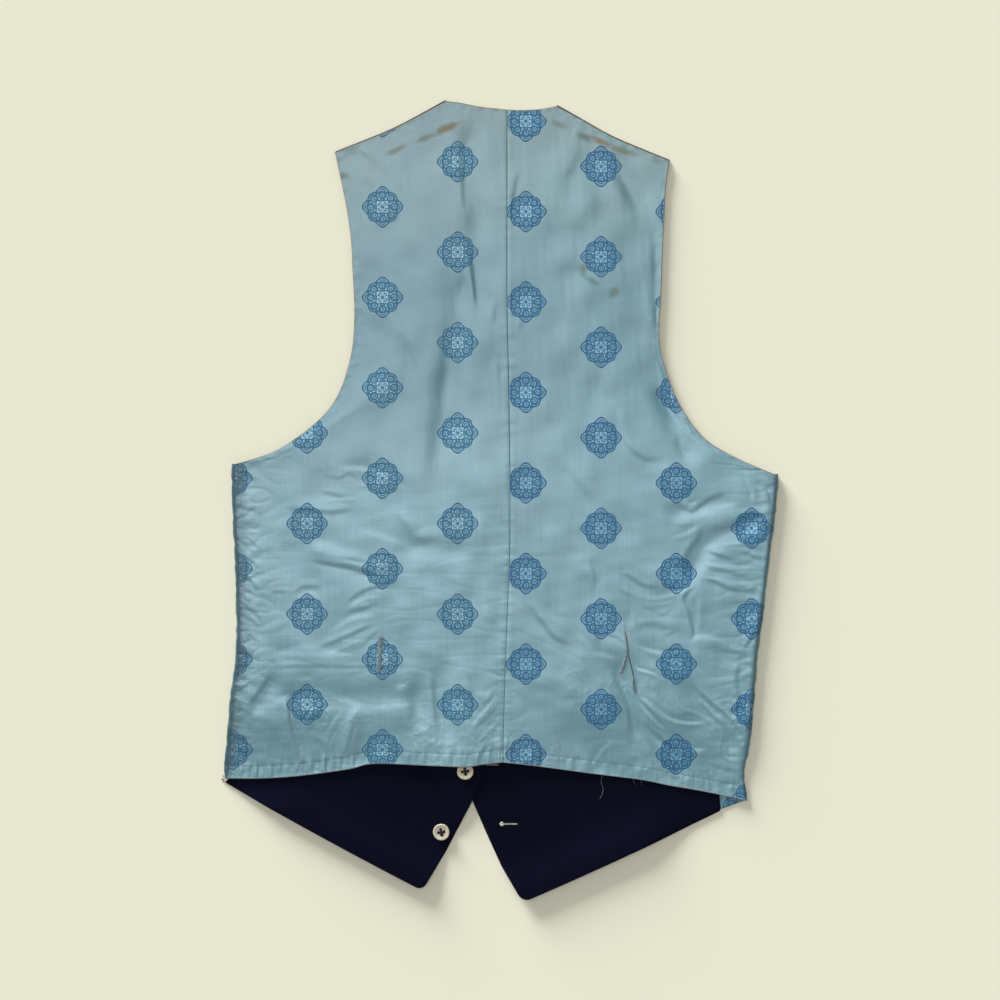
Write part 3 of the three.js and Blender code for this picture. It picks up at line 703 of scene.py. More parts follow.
def ripple(x: Array, y: Array, seed: int, length: float, count: int = 9) -> Array:
    """Soft unevenness made of a few crossing waves.

    Args:
        x: The points' x.
        y: The points' y.
        seed: Which unevenness.
        length: Its usual wavelength.
        count: How many waves.

    Returns:
        Numbers that are mostly within 1 and minus 1.
    """
    source = random.Random(seed)
    total = np.zeros(np.shape(x))
    for _ in range(count):
        angle = source.uniform(0, 2 * math.pi)
        pitch = length * source.uniform(0.6, 1.7)
        phase = source.uniform(0, 2 * math.pi)
        way = math.cos(angle) * x + math.sin(angle) * y
        total += np.sin(2 * math.pi * way / pitch + phase)
    return total / math.sqrt(count)


def creases(x: Array, y: Array, seed: int, length: float, width: float = 0.45) -> Array:
    """Narrow winding lines, as crumpled silk keeps them.

    Args:
        x: The points' x.
        y: The points' y.
        seed: Which lines.
        length: Usual distance between them, twice over.
        width: How wide they are, as a share of the waves that they follow.

    Returns:
        Numbers that are 1 on a line and 0 away from it.
    """
    return bell(ripple(x, y, seed, length, 7), width)


def rounded_tip(points: Array, tip: Array, up: Array, along: Array, radius: float) -> Array:
    """Draws the points beside a sharp tip in, so that the tip is round.

    Args:
        points: The points, x and y last.
        tip: The sharp tip.
        up: Way from it along one edge.
        along: Way from it along the other edge.
        radius: Radius of the round tip.

    Returns:
        The moved points.
    """
    up, along = up / math.hypot(*up), along / math.hypot(*along)
    half = math.acos(float(up @ along)) / 2
    inward = (up + along) / math.hypot(*(up + along))
    centre = tip + inward * radius / math.sin(half)
    away = points - centre
    turn = np.abs(np.arctan2(away[..., 0] * inward[1] - away[..., 1] * inward[0], -(away @ inward)))
    squeeze = np.cos(np.maximum(math.pi / 2 - half - turn, 0.0))
    return centre + away * squeeze[..., None]


def overlap_rise(x: Array, y: Array) -> Array:
    """Rise of the left front where it climbs onto the right front.

    Args:
        x: The points' x.
        y: The points' y.

    Returns:
        The rise.
    """
    rows = np.array(FRONT_INNER[Half.RIGHT])
    inside = x - np.interp(y, rows[:, 1], rows[:, 0])
    above = (y - OVERLAP_FOOT) / OVERLAP_LENGTH
    return OVERLAP_RISE * ease((inside + OVERLAP_REACH) / OVERLAP_WIDTH) * ease(above)


@dataclass
class Patch:
    """A sheet held by four edges.

    Attributes:
        bottom: Points of the bottom edge, one for each column, from inner to outer.
        top: Points of the top edge in the same way.
        inner: Points of the inner edge, one for each row.
        outer: Points of the outer edge, one for each row.
        rows: How far up each row is, from 0 to 1.
        columns: How far out each column is, from 0 to 1.
    """

    bottom: Array
    top: Array
    inner: Array
    outer: Array
    rows: Array
    columns: Array

    def points(self) -> Array:
        """Points of the sheet.

        Returns:
            An array of rows, columns and x with y.
        """
        u = self.columns[None, :, None]
        v = self.rows[:, None, None]
        across = self.inner[:, None] * (1 - u) + self.outer[:, None] * u
        low = self.inner[0] * (1 - u[0]) + self.outer[0] * u[0]
        high = self.inner[-1] * (1 - u[0]) + self.outer[-1] * u[0]
        across = across + (self.bottom - low)[None] * (1 - v) ** 2
        return across + (self.top - high)[None] * v**2


# Where the points of a wall's rounded edge stand, in degrees up from its middle
RIM_ANGLES = (50.0, 0.0, -50.0)


class ClothMesh:
    """A closed cloth wall with rounded edges around a grid of points.

    Its inner face runs through every other point. So the grid, and each part of it that
    has cells, is an even number of cells wide and high.
    """

    def __init__(self, grid: Array, cells: Array, wall: float, mirrored: bool) -> None:
        """Prepares the wall.

        Args:
            grid: Points in millimetres, rows by columns by three.
            cells: Which cells of the grid are cloth.
            wall: Thickness of the wall.
            mirrored: Whether the grid runs towards lower x.
        """
        rows, columns = grid.shape[:2]
        index = np.arange(rows * columns).reshape(rows, columns)
        quads = self._quads(index, cells, mirrored)
        used = np.zeros(rows * columns, dtype=bool)
        used[quads] = True
        self.keep = np.flatnonzero(used)
        renumber = np.full(rows * columns, -1)
        renumber[self.keep] = np.arange(len(self.keep))
        self.quads = renumber[quads]
        self.coarse = renumber[self._quads(index[::2, ::2], cells[::2, ::2], mirrored)]
        self.points = grid.reshape(-1, 3)[self.keep]
        self.wall = wall
        self.normals = self._normals()

    @staticmethod
    def _quads(index: Array, cells: Array, mirrored: bool) -> Array:
        """Corners of the cells that are cloth, in order round each one."""
        corners = [index[:-1, :-1], index[:-1, 1:], index[1:, 1:], index[1:, :-1]]
        quads = np.stack(corners, axis=-1)[cells]
        return quads[:, ::-1] if mirrored else quads

    def _normals(self) -> Array:
        """Unit normals of the grid's points."""
        a, b, c, d = (self.points[self.quads[:, i]] for i in range(4))
        face = np.cross(c - a, d - b)
        face /= np.linalg.norm(face, axis=1, keepdims=True) + 1e-12
        total = np.zeros_like(self.points)
        for i in range(4):
            np.add.at(total, self.quads[:, i], face)
        return total / (np.linalg.norm(total, axis=1, keepdims=True) + 1e-12)

    def _rim(self, quads: Array) -> Array:
        """Edges that only one of some cells has, each from its start to its end."""
        ring = np.concatenate([quads[:, [i, (i + 1) % 4]] for i in range(4)])
        key = np.sort(ring, axis=1)
        code = key[:, 0].astype(np.int64) * len(self.points) + key[:, 1]
        _, first, count = np.unique(code, return_index=True, return_counts=True)
        return ring[first[count == 1]]

    def build(
        self, name: str, values: dict[str, Array], uv: Array, bulge: float = 0.45
    ) -> bpy.types.Object:
        """Makes the object.

        Args:
            name: Its name.
            values: Numbers kept on its points by name, rows by columns each.
            uv: Place of each point on the flat cloth in millimetres.
            bulge: How far the edges round out, as a share of half the wall.

        Returns:
            The object.
        """
        half = self.wall / 2
        count = len(self.points)
        rim = self._rim(self.quads)
        out = np.zeros_like(self.points)
        way = self.points[rim[:, 1]] - self.points[rim[:, 0]]
        push = np.cross(way, self.normals[rim[:, 0]])
        push /= np.linalg.norm(push, axis=1, keepdims=True) + 1e-12
        np.add.at(out, rim[:, 0], push)
        np.add.at(out, rim[:, 1], push)
        edge = np.unique(rim)
        slot = np.full(count, -1)
        slot[edge] = np.arange(len(edge))
        outward = out[edge] / (np.linalg.norm(out[edge], axis=1, keepdims=True) + 1e-12)
        under = np.unique(self.coarse)
        below = np.full(count, -1)
        below[under] = np.arange(len(under)) + count
        layers = [self.points + self.normals * half, (self.points - self.normals * half)[under]]
        for angle in RIM_ANGLES:
            lift = math.sin(math.radians(angle)) * half
            reach = math.cos(math.radians(angle)) * half * bulge
            layers.append(self.points[edge] + self.normals[edge] * lift + outward * reach)
        starts = [count + len(under) + i * len(edge) for i in range(len(RIM_ANGLES))]
        faces = [self.quads, below[self.coarse[:, ::-1]]]
        a, b = rim[:, 0], rim[:, 1]
        ladder = [(a, b)] + [(slot[a] + start, slot[b] + start) for start in starts]
        for (top_a, top_b), (low_a, low_b) in zip(ladder[:-1], ladder[1:]):
            faces.append(np.stack([low_a, low_b, top_b, top_a], axis=1))
        after = np.full(count, -1)
        after[a] = b
        first, last = self._rim(self.coarse).T
        low = slot + starts[-1]
        strip = np.stack([below[first], below[last], low[last], low[after[first]], low[first]], axis=1)
        source = np.concatenate([np.arange(count), under, *([edge] * len(RIM_ANGLES))])
        quads = np.concatenate(faces)
        mesh = bpy.data.meshes.new(name)
        self._fill(mesh, np.concatenate(layers) * MM, quads, strip)
        corners = np.concatenate([quads.ravel(), strip.ravel()])
        flat = uv.reshape(-1, 2)[self.keep][source] * MM
        layer = mesh.uv_layers.new(name="cloth")
        layer.data.foreach_set("uv", flat[corners].astype(np.float32).ravel())
        inner = np.zeros(len(source))
        inner[count : count + len(under)] = 1.0
        for key, grid in values.items():
            self._number(mesh, key, grid.reshape(-1)[self.keep][source])
        self._number(mesh, "inside", inner)
        mesh.validate()
        mesh.shade_smooth()
        piece = bpy.data.objects.new(name, mesh)
        bpy.context.scene.collection.objects.link(piece)
        return piece

    @staticmethod
    def _number(mesh: bpy.types.Mesh, name: str, values: Array) -> None:
        """Keeps one number on each point under a name."""
        attribute = mesh.attributes.new(name, "FLOAT", "POINT")
        attribute.data.foreach_set("value", values.astype(np.float32))

    @staticmethod
    def _fill(mesh: bpy.types.Mesh, vertices: Array, quads: Array, strip: Array) -> None:
        """Gives a mesh its points and faces.

        Args:
            mesh: The mesh.
            vertices: The points in metres.
            quads: Corners of the faces with four.
            strip: Corners of the faces with five.
        """
        mesh.vertices.add(len(vertices))
        mesh.vertices.foreach_set("co", vertices.astype(np.float32).ravel())
        corners = np.concatenate([quads.ravel(), strip.ravel()])
        mesh.loops.add(len(corners))
        mesh.loops.foreach_set("vertex_index", corners.astype(np.int32))
        starts = np.concatenate([np.arange(len(quads)) * 4, quads.size + np.arange(len(strip)) * 5])
        mesh.polygons.add(len(starts))
        mesh.polygons.foreach_set("loop_start", starts.astype(np.int32))
        mesh.update(calc_edges=True)


def worked(operation: str) -> Callable[..., Wire]:
    """Makes a method that joins a wire with other numbers by one operation.

    Args:
        operation: Its name.

    Returns:
        The method.
    """

    def method(self: Wire, *others: object) -> Wire:
        """Joins this number with the others."""
        return self.graph.math(operation, self, *others)

    return method


class Wire:
    """One number that flows through a material's nodes."""

    def __init__(self, graph: Graph, socket: object) -> None:
        """Holds a number.

        Args:
            graph: The material's nodes.
            socket: The socket that it comes from.
        """
        self.graph = graph
        self.socket = socket

    __add__ = __radd__ = worked("ADD")
    __sub__ = worked("SUBTRACT")
    __mul__ = __rmul__ = worked("MULTIPLY")
    __truediv__ = worked("DIVIDE")
    abs = worked("ABSOLUTE")
    sin = worked("SINE")
    cos = worked("COSINE")
    floor = worked("FLOOR")
    fract = worked("FRACT")
    max = worked("MAXIMUM")
    power = worked("POWER")

    def ramp(self, low: float, high: float) -> Wire:
        """Runs from 0 at low to 1 at high and stays within them."""
        return self.graph.ramp(self, low, high)

    def line(self, width: float, soft: float = 0.35) -> Wire:
        """1 where the number is nearer to 0 than half a width, with a soft edge."""
        return self.graph.ramp(self.abs(), width / 2 + soft / 2, width / 2 - soft / 2)


class Graph:
    """The nodes of one material."""

    def __init__(self, name: str) -> None:
        """Starts a material.

        Args:
            name: Its name.
        """
        self.material = bpy.data.materials.new(name)
        self.material.use_nodes = True
        self.tree = self.material.node_tree
        self.shader = self.tree.nodes["Principled BSDF"]

    def node(self, kind: str, **settings: object) -> bpy.types.Node:
        """Adds a node.

        Args:
            kind: Its type.
            **settings: Its settings.

        Returns:
            The node.
        """
        made = self.tree.nodes.new(kind)
        for key, value in settings.items():
            setattr(made, key, value)
        return made

    def plug(self, value: object, target: bpy.types.NodeSocket) -> None:
        """Sends a number, a colour or a wire into a socket.

        Args:
            value: What is sent.
            target: Where it goes.
        """
        if isinstance(value, Wire):
            self.tree.links.new(value.socket, target)
        elif isinstance(value, bpy.types.NodeSocket):
            self.tree.links.new(value, target)
        else:
            target.default_value = value

    def math(self, operation: str, *values: object) -> Wire:
        """Works one operation.

        Args:
            operation: Its name.
            *values: What it works on.

        Returns:
            The result.
        """
        made = self.node("ShaderNodeMath", operation=operation)
        for value, target in zip(values, made.inputs):
            self.plug(value, target)
        return Wire(self, made.outputs[0])

    def ramp(self, value: Wire, low: float, high: float) -> Wire:
        """Maps low to 0 and high to 1 with an even slope.

        Args:
            value: The number.
            low: Where the result is 0.
            high: Where the result is 1.

        Returns:
            The result.
        """
        made = self.node("ShaderNodeMapRange", clamp=True)
        self.plug(value, made.inputs["Value"])
        made.inputs["From Min"].default_value = low
        made.inputs["From Max"].default_value = high
        return Wire(self, made.outputs["Result"])

    def attribute(self, name: str) -> Wire:
        """Number kept on the points under a name."""
        return Wire(self, self.node("ShaderNodeAttribute", attribute_name=name).outputs["Fac"])

    def place(self) -> tuple[Wire, Wire, bpy.types.NodeSocket]:
        """Place on the flat cloth.

        Returns:
            Its two numbers in millimetres and its vector in metres.
        """
        uv = self.node("ShaderNodeUVMap", uv_map="cloth")
        split = self.node("ShaderNodeSeparateXYZ")
        self.plug(uv.outputs[0], split.inputs[0])
        x = Wire(self, split.outputs[0]) * 1000.0
        y = Wire(self, split.outputs[1]) * 1000.0
        return x, y, uv.outputs[0]

    def vector(self, x: object, y: object, z: object = 0.0) -> bpy.types.NodeSocket:
        """Vector of three numbers."""
        made = self.node("ShaderNodeCombineXYZ")
        for value, target in zip((x, y, z), made.inputs):
            self.plug(value, target)
        return made.outputs[0]

    def noise(
        self, place: bpy.types.NodeSocket, scale: float, detail: float = 2.0, rough: float = 0.5
    ) -> Wire:
        """Noise at a place.

        Args:
            place: The vector that it reads.
            scale: How fine it is.
            detail: How many finer layers it has.
            rough: How strong these are.

        Returns:
            Numbers around a half.
        """
        made = self.node("ShaderNodeTexNoise")
        self.plug(place, made.inputs["Vector"])
        made.inputs["Scale"].default_value = scale
        made.inputs["Detail"].default_value = detail
        made.inputs["Roughness"].default_value = rough
        return Wire(self, made.outputs[0])

    def mix(self, share: object, first: object, second: object) -> bpy.types.NodeSocket:
        """Mixes two colours.

        Args:
            share: Share of the second.
            first: The first colour.
            second: The second colour.

        Returns:
            The mixed colour.
        """
        made = self.node("ShaderNodeMix", data_type="RGBA", clamp_factor=True)
        self.plug(share, made.inputs[0])
        self.plug(colour(first) if isinstance(first, str) else first, made.inputs[6])
        self.plug(colour(second) if isinstance(second, str) else second, made.inputs[7])
        return made.outputs[2]

    def bump(self, height: Wire, distance: float, strength: float) -> None:
        """Roughens the surface.

        Args:
            height: How high it is, from 0 to 1.
            distance: Metres that 1 stands for.
            strength: Share of it that shows.
        """
        made = self.node("ShaderNodeBump")
        self.plug(height, made.inputs["Height"])
        made.inputs["Distance"].default_value = distance
        made.inputs["Strength"].default_value = strength
        self.plug(made.outputs[0], self.shader.inputs["Normal"])

    def set(self, **values: object) -> None:
        """Sets the shader's own sockets, named with underscores for spaces."""
        for key, value in values.items():
            self.plug(value, self.shader.inputs[key.replace("_", " ")])


def colour(text: str) -> tuple[float, float, float, float]:
    """Linear colour of a six digit hexadecimal one.

    Args:
        text: The digits.

    Returns:
        Red, green, blue and 1.
    """
    parts = [int(text[i : i + 2], 16) / 255 for i in (0, 2, 4)]
    lit = [p / 12.92 if p <= 0.04045 else ((p + 0.055) / 1.055) ** 2.4 for p in parts]
    return (lit[0], lit[1], lit[2], 1.0)


# Old rust and mildew marks on the silk: x, y, half width, half height, slope, share, tint
STAINS = (
    (-46.0, 316.0, 12.0, 3.0, 0.42, 0.62, "866624"),
    (-62.0, 309.0, 8.0, 2.4, 0.4, 0.45, "7a6c44"),
    (-88.0, 298.0, 8.0, 2.6, 0.4, 0.55, "7a6c44"),
    (-133.0, 276.0, 4.5, 2.6, 0.0, 0.45, "7a6c44"),
    (87.0, 305.0, 12.0, 2.6, -0.42, 0.62, "866624"),
    (72.0, 309.0, 6.0, 3.4, -0.3, 0.5, "55604f"),
    (106.0, 297.0, 9.0, 2.8, -0.3, 0.55, "7a6c44"),
    (50.0, 320.0, 6.0, 2.6, -0.3, 0.4, "7a6c44"),
    (134.0, 289.0, 5.0, 2.4, 0.0, 0.4, "7a6c44"),
    (71.0, 196.0, 3.6, 5.0, 0.2, 0.5, "5f6f48"),
    (79.0, 186.0, 5.5, 2.6, -0.4, 0.45, "5f6f48"),
    (97.0, 176.0, 5.0, 3.6, 0.3, 0.5, "5f6f48"),
)

# Rings of small loops in a printed rosette: how many, how far out, radius, turn in steps
LOOP_RINGS = ((8, 10.1, 3.0, 0.5), (8, 13.0, 0.8, 0.0))
ROSETTE_RADIUS = 15.0
FRAME_GAP = 2.2
PETAL_RING = 6.7
PETAL_LENGTH = 5.6
SHORT_PETAL_LENGTH = 4.3
CURL_PITCH = 1.5
THIN_LINE = 1.0
LINE = 1.3
FRAME_LINE = 1.4
CENTRE_DOT = 2.4

# Distance from thread to thread of the silk, across and up
WARP_PITCH = 0.42
WEFT_PITCH = 0.5


@dataclass(frozen=True)
class SilkFinish:
    """Printed satin silk of one half of the back.

    Attributes:
        ground: Colour of the silk.
        deep: Colour of its darker streaks.
        upper: Colour of the painted shade that darkens the silk above the waist.
        upper_left_shade: Colour of the painted shade in the upper left.
        haze: Colour of the dusty part below the neck.
        top: Colour of the painted shade along the neck and the shoulders.
        ink: Colour of the print.
        ink_share: How strongly the print covers.
        shift: Where the print's grid begins, in millimetres.
        across: Distance from column to column in millimetres.
        up: Distance from row to row in millimetres.
        glow: Colour of the silk between the lines of a rosette.
        glow_share: How strongly it shows.
        worn: Colour of the worn neck and armhole edges.
        side_shade: Colour of the painted shade on the folded side, in soft patches.
        side_shade_reach: How far in from the folded side the painted shade reaches.
        side_share: How strongly the painted shade and shadow on and beside the folded side show.
        rim: Colour of the painted shade on the fold itself.
        fold_shadow: Colour of the painted shadow beside the fold above the waist.
        hem_tint: Colour of the worn edge of the hem.
        lining: Colour of the inside.
        crinkle: How strongly the silk is crinkled near the folded side.
        crinkle_reach: How far in from the folded side.
    """

    ground: str = "789ca5"
    deep: str = "628892"
    # Painted shade, darker up the back: above the waist, in the upper left and along the neck and
    # shoulders; the haze between is dust
    upper: str = "527a82"
    upper_left_shade: str = "305559"
    haze: str = "6a7d71"
    top: str = "36504f"
    ink: str = "2f6f9f"
    ink_share: float = 1.0
    shift: tuple[float, float] = (0.0, 0.0)
    across: float = 64.0
    up: float = 77.0
    glow: str = "789fb0"
    glow_share: float = 0.65
    worn: str = "6f675a"
    # Painted shade on the folded side and on the fold, and a painted shadow beside it above the waist
    side_shade: str = "38545c"
    side_shade_reach: float = 12.0
    side_share: float = 0.85
    rim: str = "22353b"
    fold_shadow: str = "2f4a56"
    hem_tint: str = "9a9484"
    lining: str = "8d8a7c"
    crinkle: float = 0.7
    crinkle_reach: float = 27.0

    def _print(self, graph: Graph, x: Wire, y: Wire, place: bpy.types.NodeSocket) -> tuple[Wire, Wire]:
        """Lobed rosettes in an upright half drop.

        Args:
            graph: The material's nodes.
            x: Place across in millimetres.
            y: Place up in millimetres.
            place: The same place as a vector in metres.

        Returns:
            Where the lines are and where the rosettes are, each from 0 to 1.
        """
        wander = graph.noise(place, 520.0, 2.0) - 0.5
        column = (x + self.shift[0]) / self.across
        drop = (column.floor() * 0.5).fract()
        row = (y + self.shift[1]) / self.up + drop
        dx = (column.fract() - 0.5) * self.across + wander * 0.5
        dy = (row.fract() - 0.5) * self.up + wander * 0.4
        r = (dx * dx + dy * dy).power(0.5)
        turn = graph.math("ARCTAN2", dy, dx)
        lobes = (turn * 8.0).cos()
        frame = (turn * 4.0).cos() * 1.1 + lobes * 0.9 + ROSETTE_RADIUS
        marks = [
            (r - frame).line(FRAME_LINE),
            (r - frame + FRAME_GAP).line(THIN_LINE),
            (r - PETAL_RING - lobes * 0.7).line(LINE),
            (r - (turn * 2.0).cos().abs() * PETAL_LENGTH).line(LINE),
            (r - (turn * 2.0).sin().abs() * SHORT_PETAL_LENGTH).line(THIN_LINE),
            r.line(CENTRE_DOT),
        ]
        for count, centre, radius, offset in LOOP_RINGS:
            step = 2 * math.pi / count
            wedge = ((turn / step + offset).fract() - 0.5) * step
            wx = r * wedge.cos() - centre
            wy = r * wedge.sin()
            reach = (wx * wx + wy * wy).power(0.5)
            marks.append((reach - radius).line(LINE))
            curl = reach / CURL_PITCH - graph.math("ARCTAN2", wy, wx) / (2 * math.pi)
            inside = reach.ramp(radius, radius - 0.2)
            marks.append((curl.fract() - 0.5).line(0.62, 0.24) * inside)
        lines = marks[0]
        for mark in marks[1:]:
            lines = lines.max(mark)
        worn = graph.noise(place, 900.0, 3.0, 0.7).ramp(0.2, 0.5) * 0.35 + 0.65
        disc = r.ramp(ROSETTE_RADIUS + 0.2, ROSETTE_RADIUS - 0.6)
        return lines * worn * self.ink_share, disc * self.glow_share

    def _shade_and_dust(self, x: Wire, y: Wire, clouds: Wire) -> list[tuple[Wire, str]]:
        """Painted shade that darkens the silk up the back, and dust below the neck.

        Args:
            x: Place across in millimetres.
            y: Place up in millimetres.
            clouds: Soft patches.

        Returns:
            For each its share and its colour, from the first to the last.
        """
        return [
            # Painted shade above the waist and in the upper left, then dust below the neck, then painted
            # shade along the neck and shoulders
            (y.ramp(10.0, 110.0) * 0.9, self.upper),
            (y.ramp(0.0, 70.0) * x.ramp(70.0, -60.0) * 0.34, self.upper_left_shade),
            (y.ramp(190.0, 330.0) * (clouds.ramp(0.3, 0.65) * 0.4 + 0.25), self.haze),
            (y.ramp(285.0, 335.0) * 0.3, self.top),
        ]

    def _wear_and_shade(
        self, graph: Graph, y: Wire, place: bpy.types.NodeSocket, side: Wire
    ) -> list[tuple[Wire, str]]:
        """Wear along the edges, painted shade on and beside the folded side, and the inside's colour.

        Args:
            graph: The material's nodes.
            y: Place up in millimetres.
            place: The place as a vector in metres.
            side: Distance to the folded side, less than 0 past it.

        Returns:
            For each its share and its colour, from the first to the last.
        """
        facing = side.ramp(-14.0, -8.0)
        patchy = graph.noise(place, 160.0, 3.0, 0.6).ramp(0.3, 0.62) * 0.6 + 0.4
        return [
            (graph.attribute("edge").ramp(1.0, 0.4) * 0.85, self.worn),
            # Painted shade on the folded side in patches, on the fold itself, and a painted shadow beside
            # the fold above the waist
            (side.ramp(self.side_shade_reach, 0.0) * facing * patchy * self.side_share, self.side_shade),
            (side.ramp(2.6, 0.6) * facing * self.side_share * 0.75, self.rim),
            (side.ramp(10.0, 5.0) * y.ramp(-26.0, 2.0) * self.side_share * 0.6, self.fold_shadow),
            (graph.attribute("hem").ramp(0.9, 0.3) * 0.6, self.hem_tint),
            (graph.attribute("inside") * side.ramp(-8.0, -2.0) * 0.9, self.lining),
        ]

    @staticmethod
    def _stains(
        graph: Graph, x: Wire, y: Wire, place: bpy.types.NodeSocket, silk: bpy.types.NodeSocket
    ) -> tuple[bpy.types.NodeSocket, Wire]:
        """Old rust and mildew marks.

        Args:
            graph: The material's nodes.
            x: Place across in millimetres.
            y: Place up in millimetres.
            place: The same place as a vector in metres.
            silk: The colour without them.

        Returns:
            The colour with them and how strong they are, from 0 to 1.
        """
        ragged = (graph.noise(place, 130.0, 4.0, 0.65) - 0.5) * 2.4
        marks = []
        for cx, cy, half_width, half_height, slope, share, tint in STAINS:
            dx = (x - cx) / half_width
            dy = (y - cy - (x - cx) * slope) / half_height
            reach = (dx * dx + dy * dy).power(0.5) + ragged
            marks.append(reach.ramp(1.4, 0.2) * share)
            silk = graph.mix(marks[-1], silk, tint)
        soiled = marks[0]
        for mark in marks[1:]:
            soiled = soiled.max(mark)
        return silk, soiled

    def _crinkles(
        self, graph: Graph, x: Wire, y: Wire, place: bpy.types.NodeSocket, side: Wire, clouds: Wire
    ) -> Wire:
        """Fine crinkles near the folded side and the hem.

        Args:
            graph: The material's nodes.
            x: Place across in millimetres.
            y: Place up in millimetres.
            place: The same place as a vector in metres.
            side: Distance to the folded side.
            clouds: Soft patches, which bend the crinkles.

        Returns:
            Their height, from 0 to 1.
        """
        bent = graph.vector(x * 0.05 + clouds * 3.0, y * 0.062 + x * 0.02)
        pulls = graph.noise(bent, 1.0, 2.0, 0.55)
        dents = graph.noise(place, 48.0, 2.0, 0.55)
        patches = graph.noise(place, 17.0, 1.0, 0.5).ramp(0.42, 0.62)
        near = side.ramp(self.crinkle_reach, 3.0) * side.ramp(-14.0, -8.0) * self.crinkle
        beside = (pulls - 0.5).abs().ramp(0.1, 0.0) * near * (patches * 0.5 + 0.5)
        above = (dents - 0.5).abs().ramp(0.1, 0.0) * y.ramp(-120.0, -210.0) * patches * 0.7
        return beside + above

    def build(self, name: str) -> bpy.types.Material:
        """Makes the material.

        Args:
            name: Its name.

        Returns:
            The material.
        """
        graph = Graph(name)
        x, y, place = graph.place()
        streaks = graph.noise(graph.vector(x * 0.9, y * 0.02), 1.0, 3.0, 0.6)
        slubs = graph.noise(graph.vector(x * 0.035, y * 0.8), 1.0, 2.0, 0.5)
        clouds = graph.noise(place, 14.0, 3.0, 0.5)
        side = graph.attribute("side")
        tone = streaks * 0.5 + slubs * 0.22 + clouds * 0.6
        silk = graph.mix(tone.ramp(0.45, 0.85), self.ground, self.deep)
        for share, tint in self._shade_and_dust(x, y, clouds):
            silk = graph.mix(share, silk, tint)
        ink, rosette = self._print(graph, x, y, place)
        silk = graph.mix(rosette, silk, self.glow)
        silk = graph.mix(ink, silk, self.ink)
        silk, soiled = self._stains(graph, x, y, place, silk)
        for share, tint in self._wear_and_shade(graph, y, place, side):
            silk = graph.mix(share, silk, tint)
        warp = (x * (2 * math.pi / WARP_PITCH)).sin() * 0.5 + 0.5
        weft = (y * (2 * math.pi / WEFT_PITCH)).sin() * 0.5 + 0.5
        weave = warp * 0.35 + weft * 0.35 + streaks * 0.8 + slubs * 0.5
        crinkles = self._crinkles(graph, x, y, place, side, clouds)
        graph.bump(weave + crinkles * 7.0, distance=0.00006, strength=0.5)
        graph.set(
            Base_Color=silk,
            Roughness=ink * 0.3 + soiled * 0.4 + 0.28,
            Specular_IOR_Level=0.9,
            Specular_Tint=colour("dff2ff"),
            Sheen_Weight=0.05,
            Sheen_Roughness=0.35,
            Sheen_Tint=colour("cfe4ea"),
            Anisotropic=0.3,
        )
        return graph.material


@dataclass(frozen=True)
class WoolFinish:
    """Fine navy twill.

    Attributes:
        ground: Colour of the wool.
        lit: Colour of its raised threads.
        pitch: Distance from rib to rib, measured across and up.
    """

    ground: str = "080a17"
    lit: str = "0c0e20"
    pitch: float = 0.9

    def build(self, name: str) -> bpy.types.Material:
        """Makes the material.

        Args:
            name: Its name.

        Returns:
            The material.
        """
        graph = Graph(name)
        x, y, place = graph.place()
        twill = ((x + y) * (2 * math.pi / self.pitch)).sin() * 0.5 + 0.5
        fuzz = graph.noise(place, 2600.0, 3.0, 0.6)
        clouds = graph.noise(place, 18.0, 3.0, 0.5)
        tone = twill * 0.25 + fuzz * 0.5 + clouds * 0.5
        graph.bump(twill * 0.6 + fuzz * 0.8, distance=0.00012, strength=0.5)
        graph.set(
            Base_Color=graph.mix(tone.ramp(0.35, 0.95), self.ground, self.lit),
            Roughness=0.88,
            Specular_IOR_Level=0.06,
        )
        return graph.material


@dataclass(frozen=True)
class ButtonFinish:
    """Pale mottled button.

    Attributes:
        ground: Its colour.
        mottle: Colour of its blots.
    """

    ground: str = "bfb8a2"
    mottle: str = "948c72"

    def build(self, name: str) -> bpy.types.Material:
        """Makes the material.

        Args:
            name: Its name.

        Returns:
            The material.
        """
        graph = Graph(name)
        place = graph.node("ShaderNodeTexCoord").outputs["Object"]
        blots = graph.noise(place, 520.0, 4.0, 0.6)
        grain = graph.noise(place, 2400.0, 2.0, 0.5)
        tone = blots * 0.8 + grain * 0.2
        graph.bump(grain, distance=0.00005, strength=0.3)
        graph.set(
            Base_Color=graph.mix(tone.ramp(0.45, 0.72), self.ground, self.mottle),
            Roughness=0.5,
            Specular_IOR_Level=0.35,
        )
        return graph.material


@dataclass(frozen=True)
class ThreadFinish:
    """Twisted sewing thread.

    Attributes:
        tint: Its colour.
        dark: Colour between its fibres.
    """

    tint: str
    dark: str

    def build(self, name: str) -> bpy.types.Material:
        """Makes the material.

        Args:
            name: Its name.

        Returns:
            The material.
        """
        graph = Graph(name)
        place = graph.node("ShaderNodeTexCoord").outputs["Object"]
        fibre = graph.noise(place, 3200.0, 3.0, 0.6)
        graph.bump(fibre, distance=0.00008, strength=0.5)
        graph.set(
            Base_Color=graph.mix(fibre.ramp(0.35, 0.7), self.tint, self.dark),
            Roughness=0.75,
            Specular_IOR_Level=0.3,
            Sheen_Weight=0.2,
        )
        return graph.material


@dataclass(frozen=True)
class FloorFinish:
    """Plain pale floor.

    Attributes:
        tint: Its colour.
    """

    tint: str = "e6e4cf"

    def build(self, name: str) -> bpy.types.Material:
        """Makes the material.

        Args:
            name: Its name.

        Returns:
            The material.
        """
        graph = Graph(name)
        graph.set(Base_Color=colour(self.tint), Roughness=0.95, Specular_IOR_Level=0.0)
        return graph.material


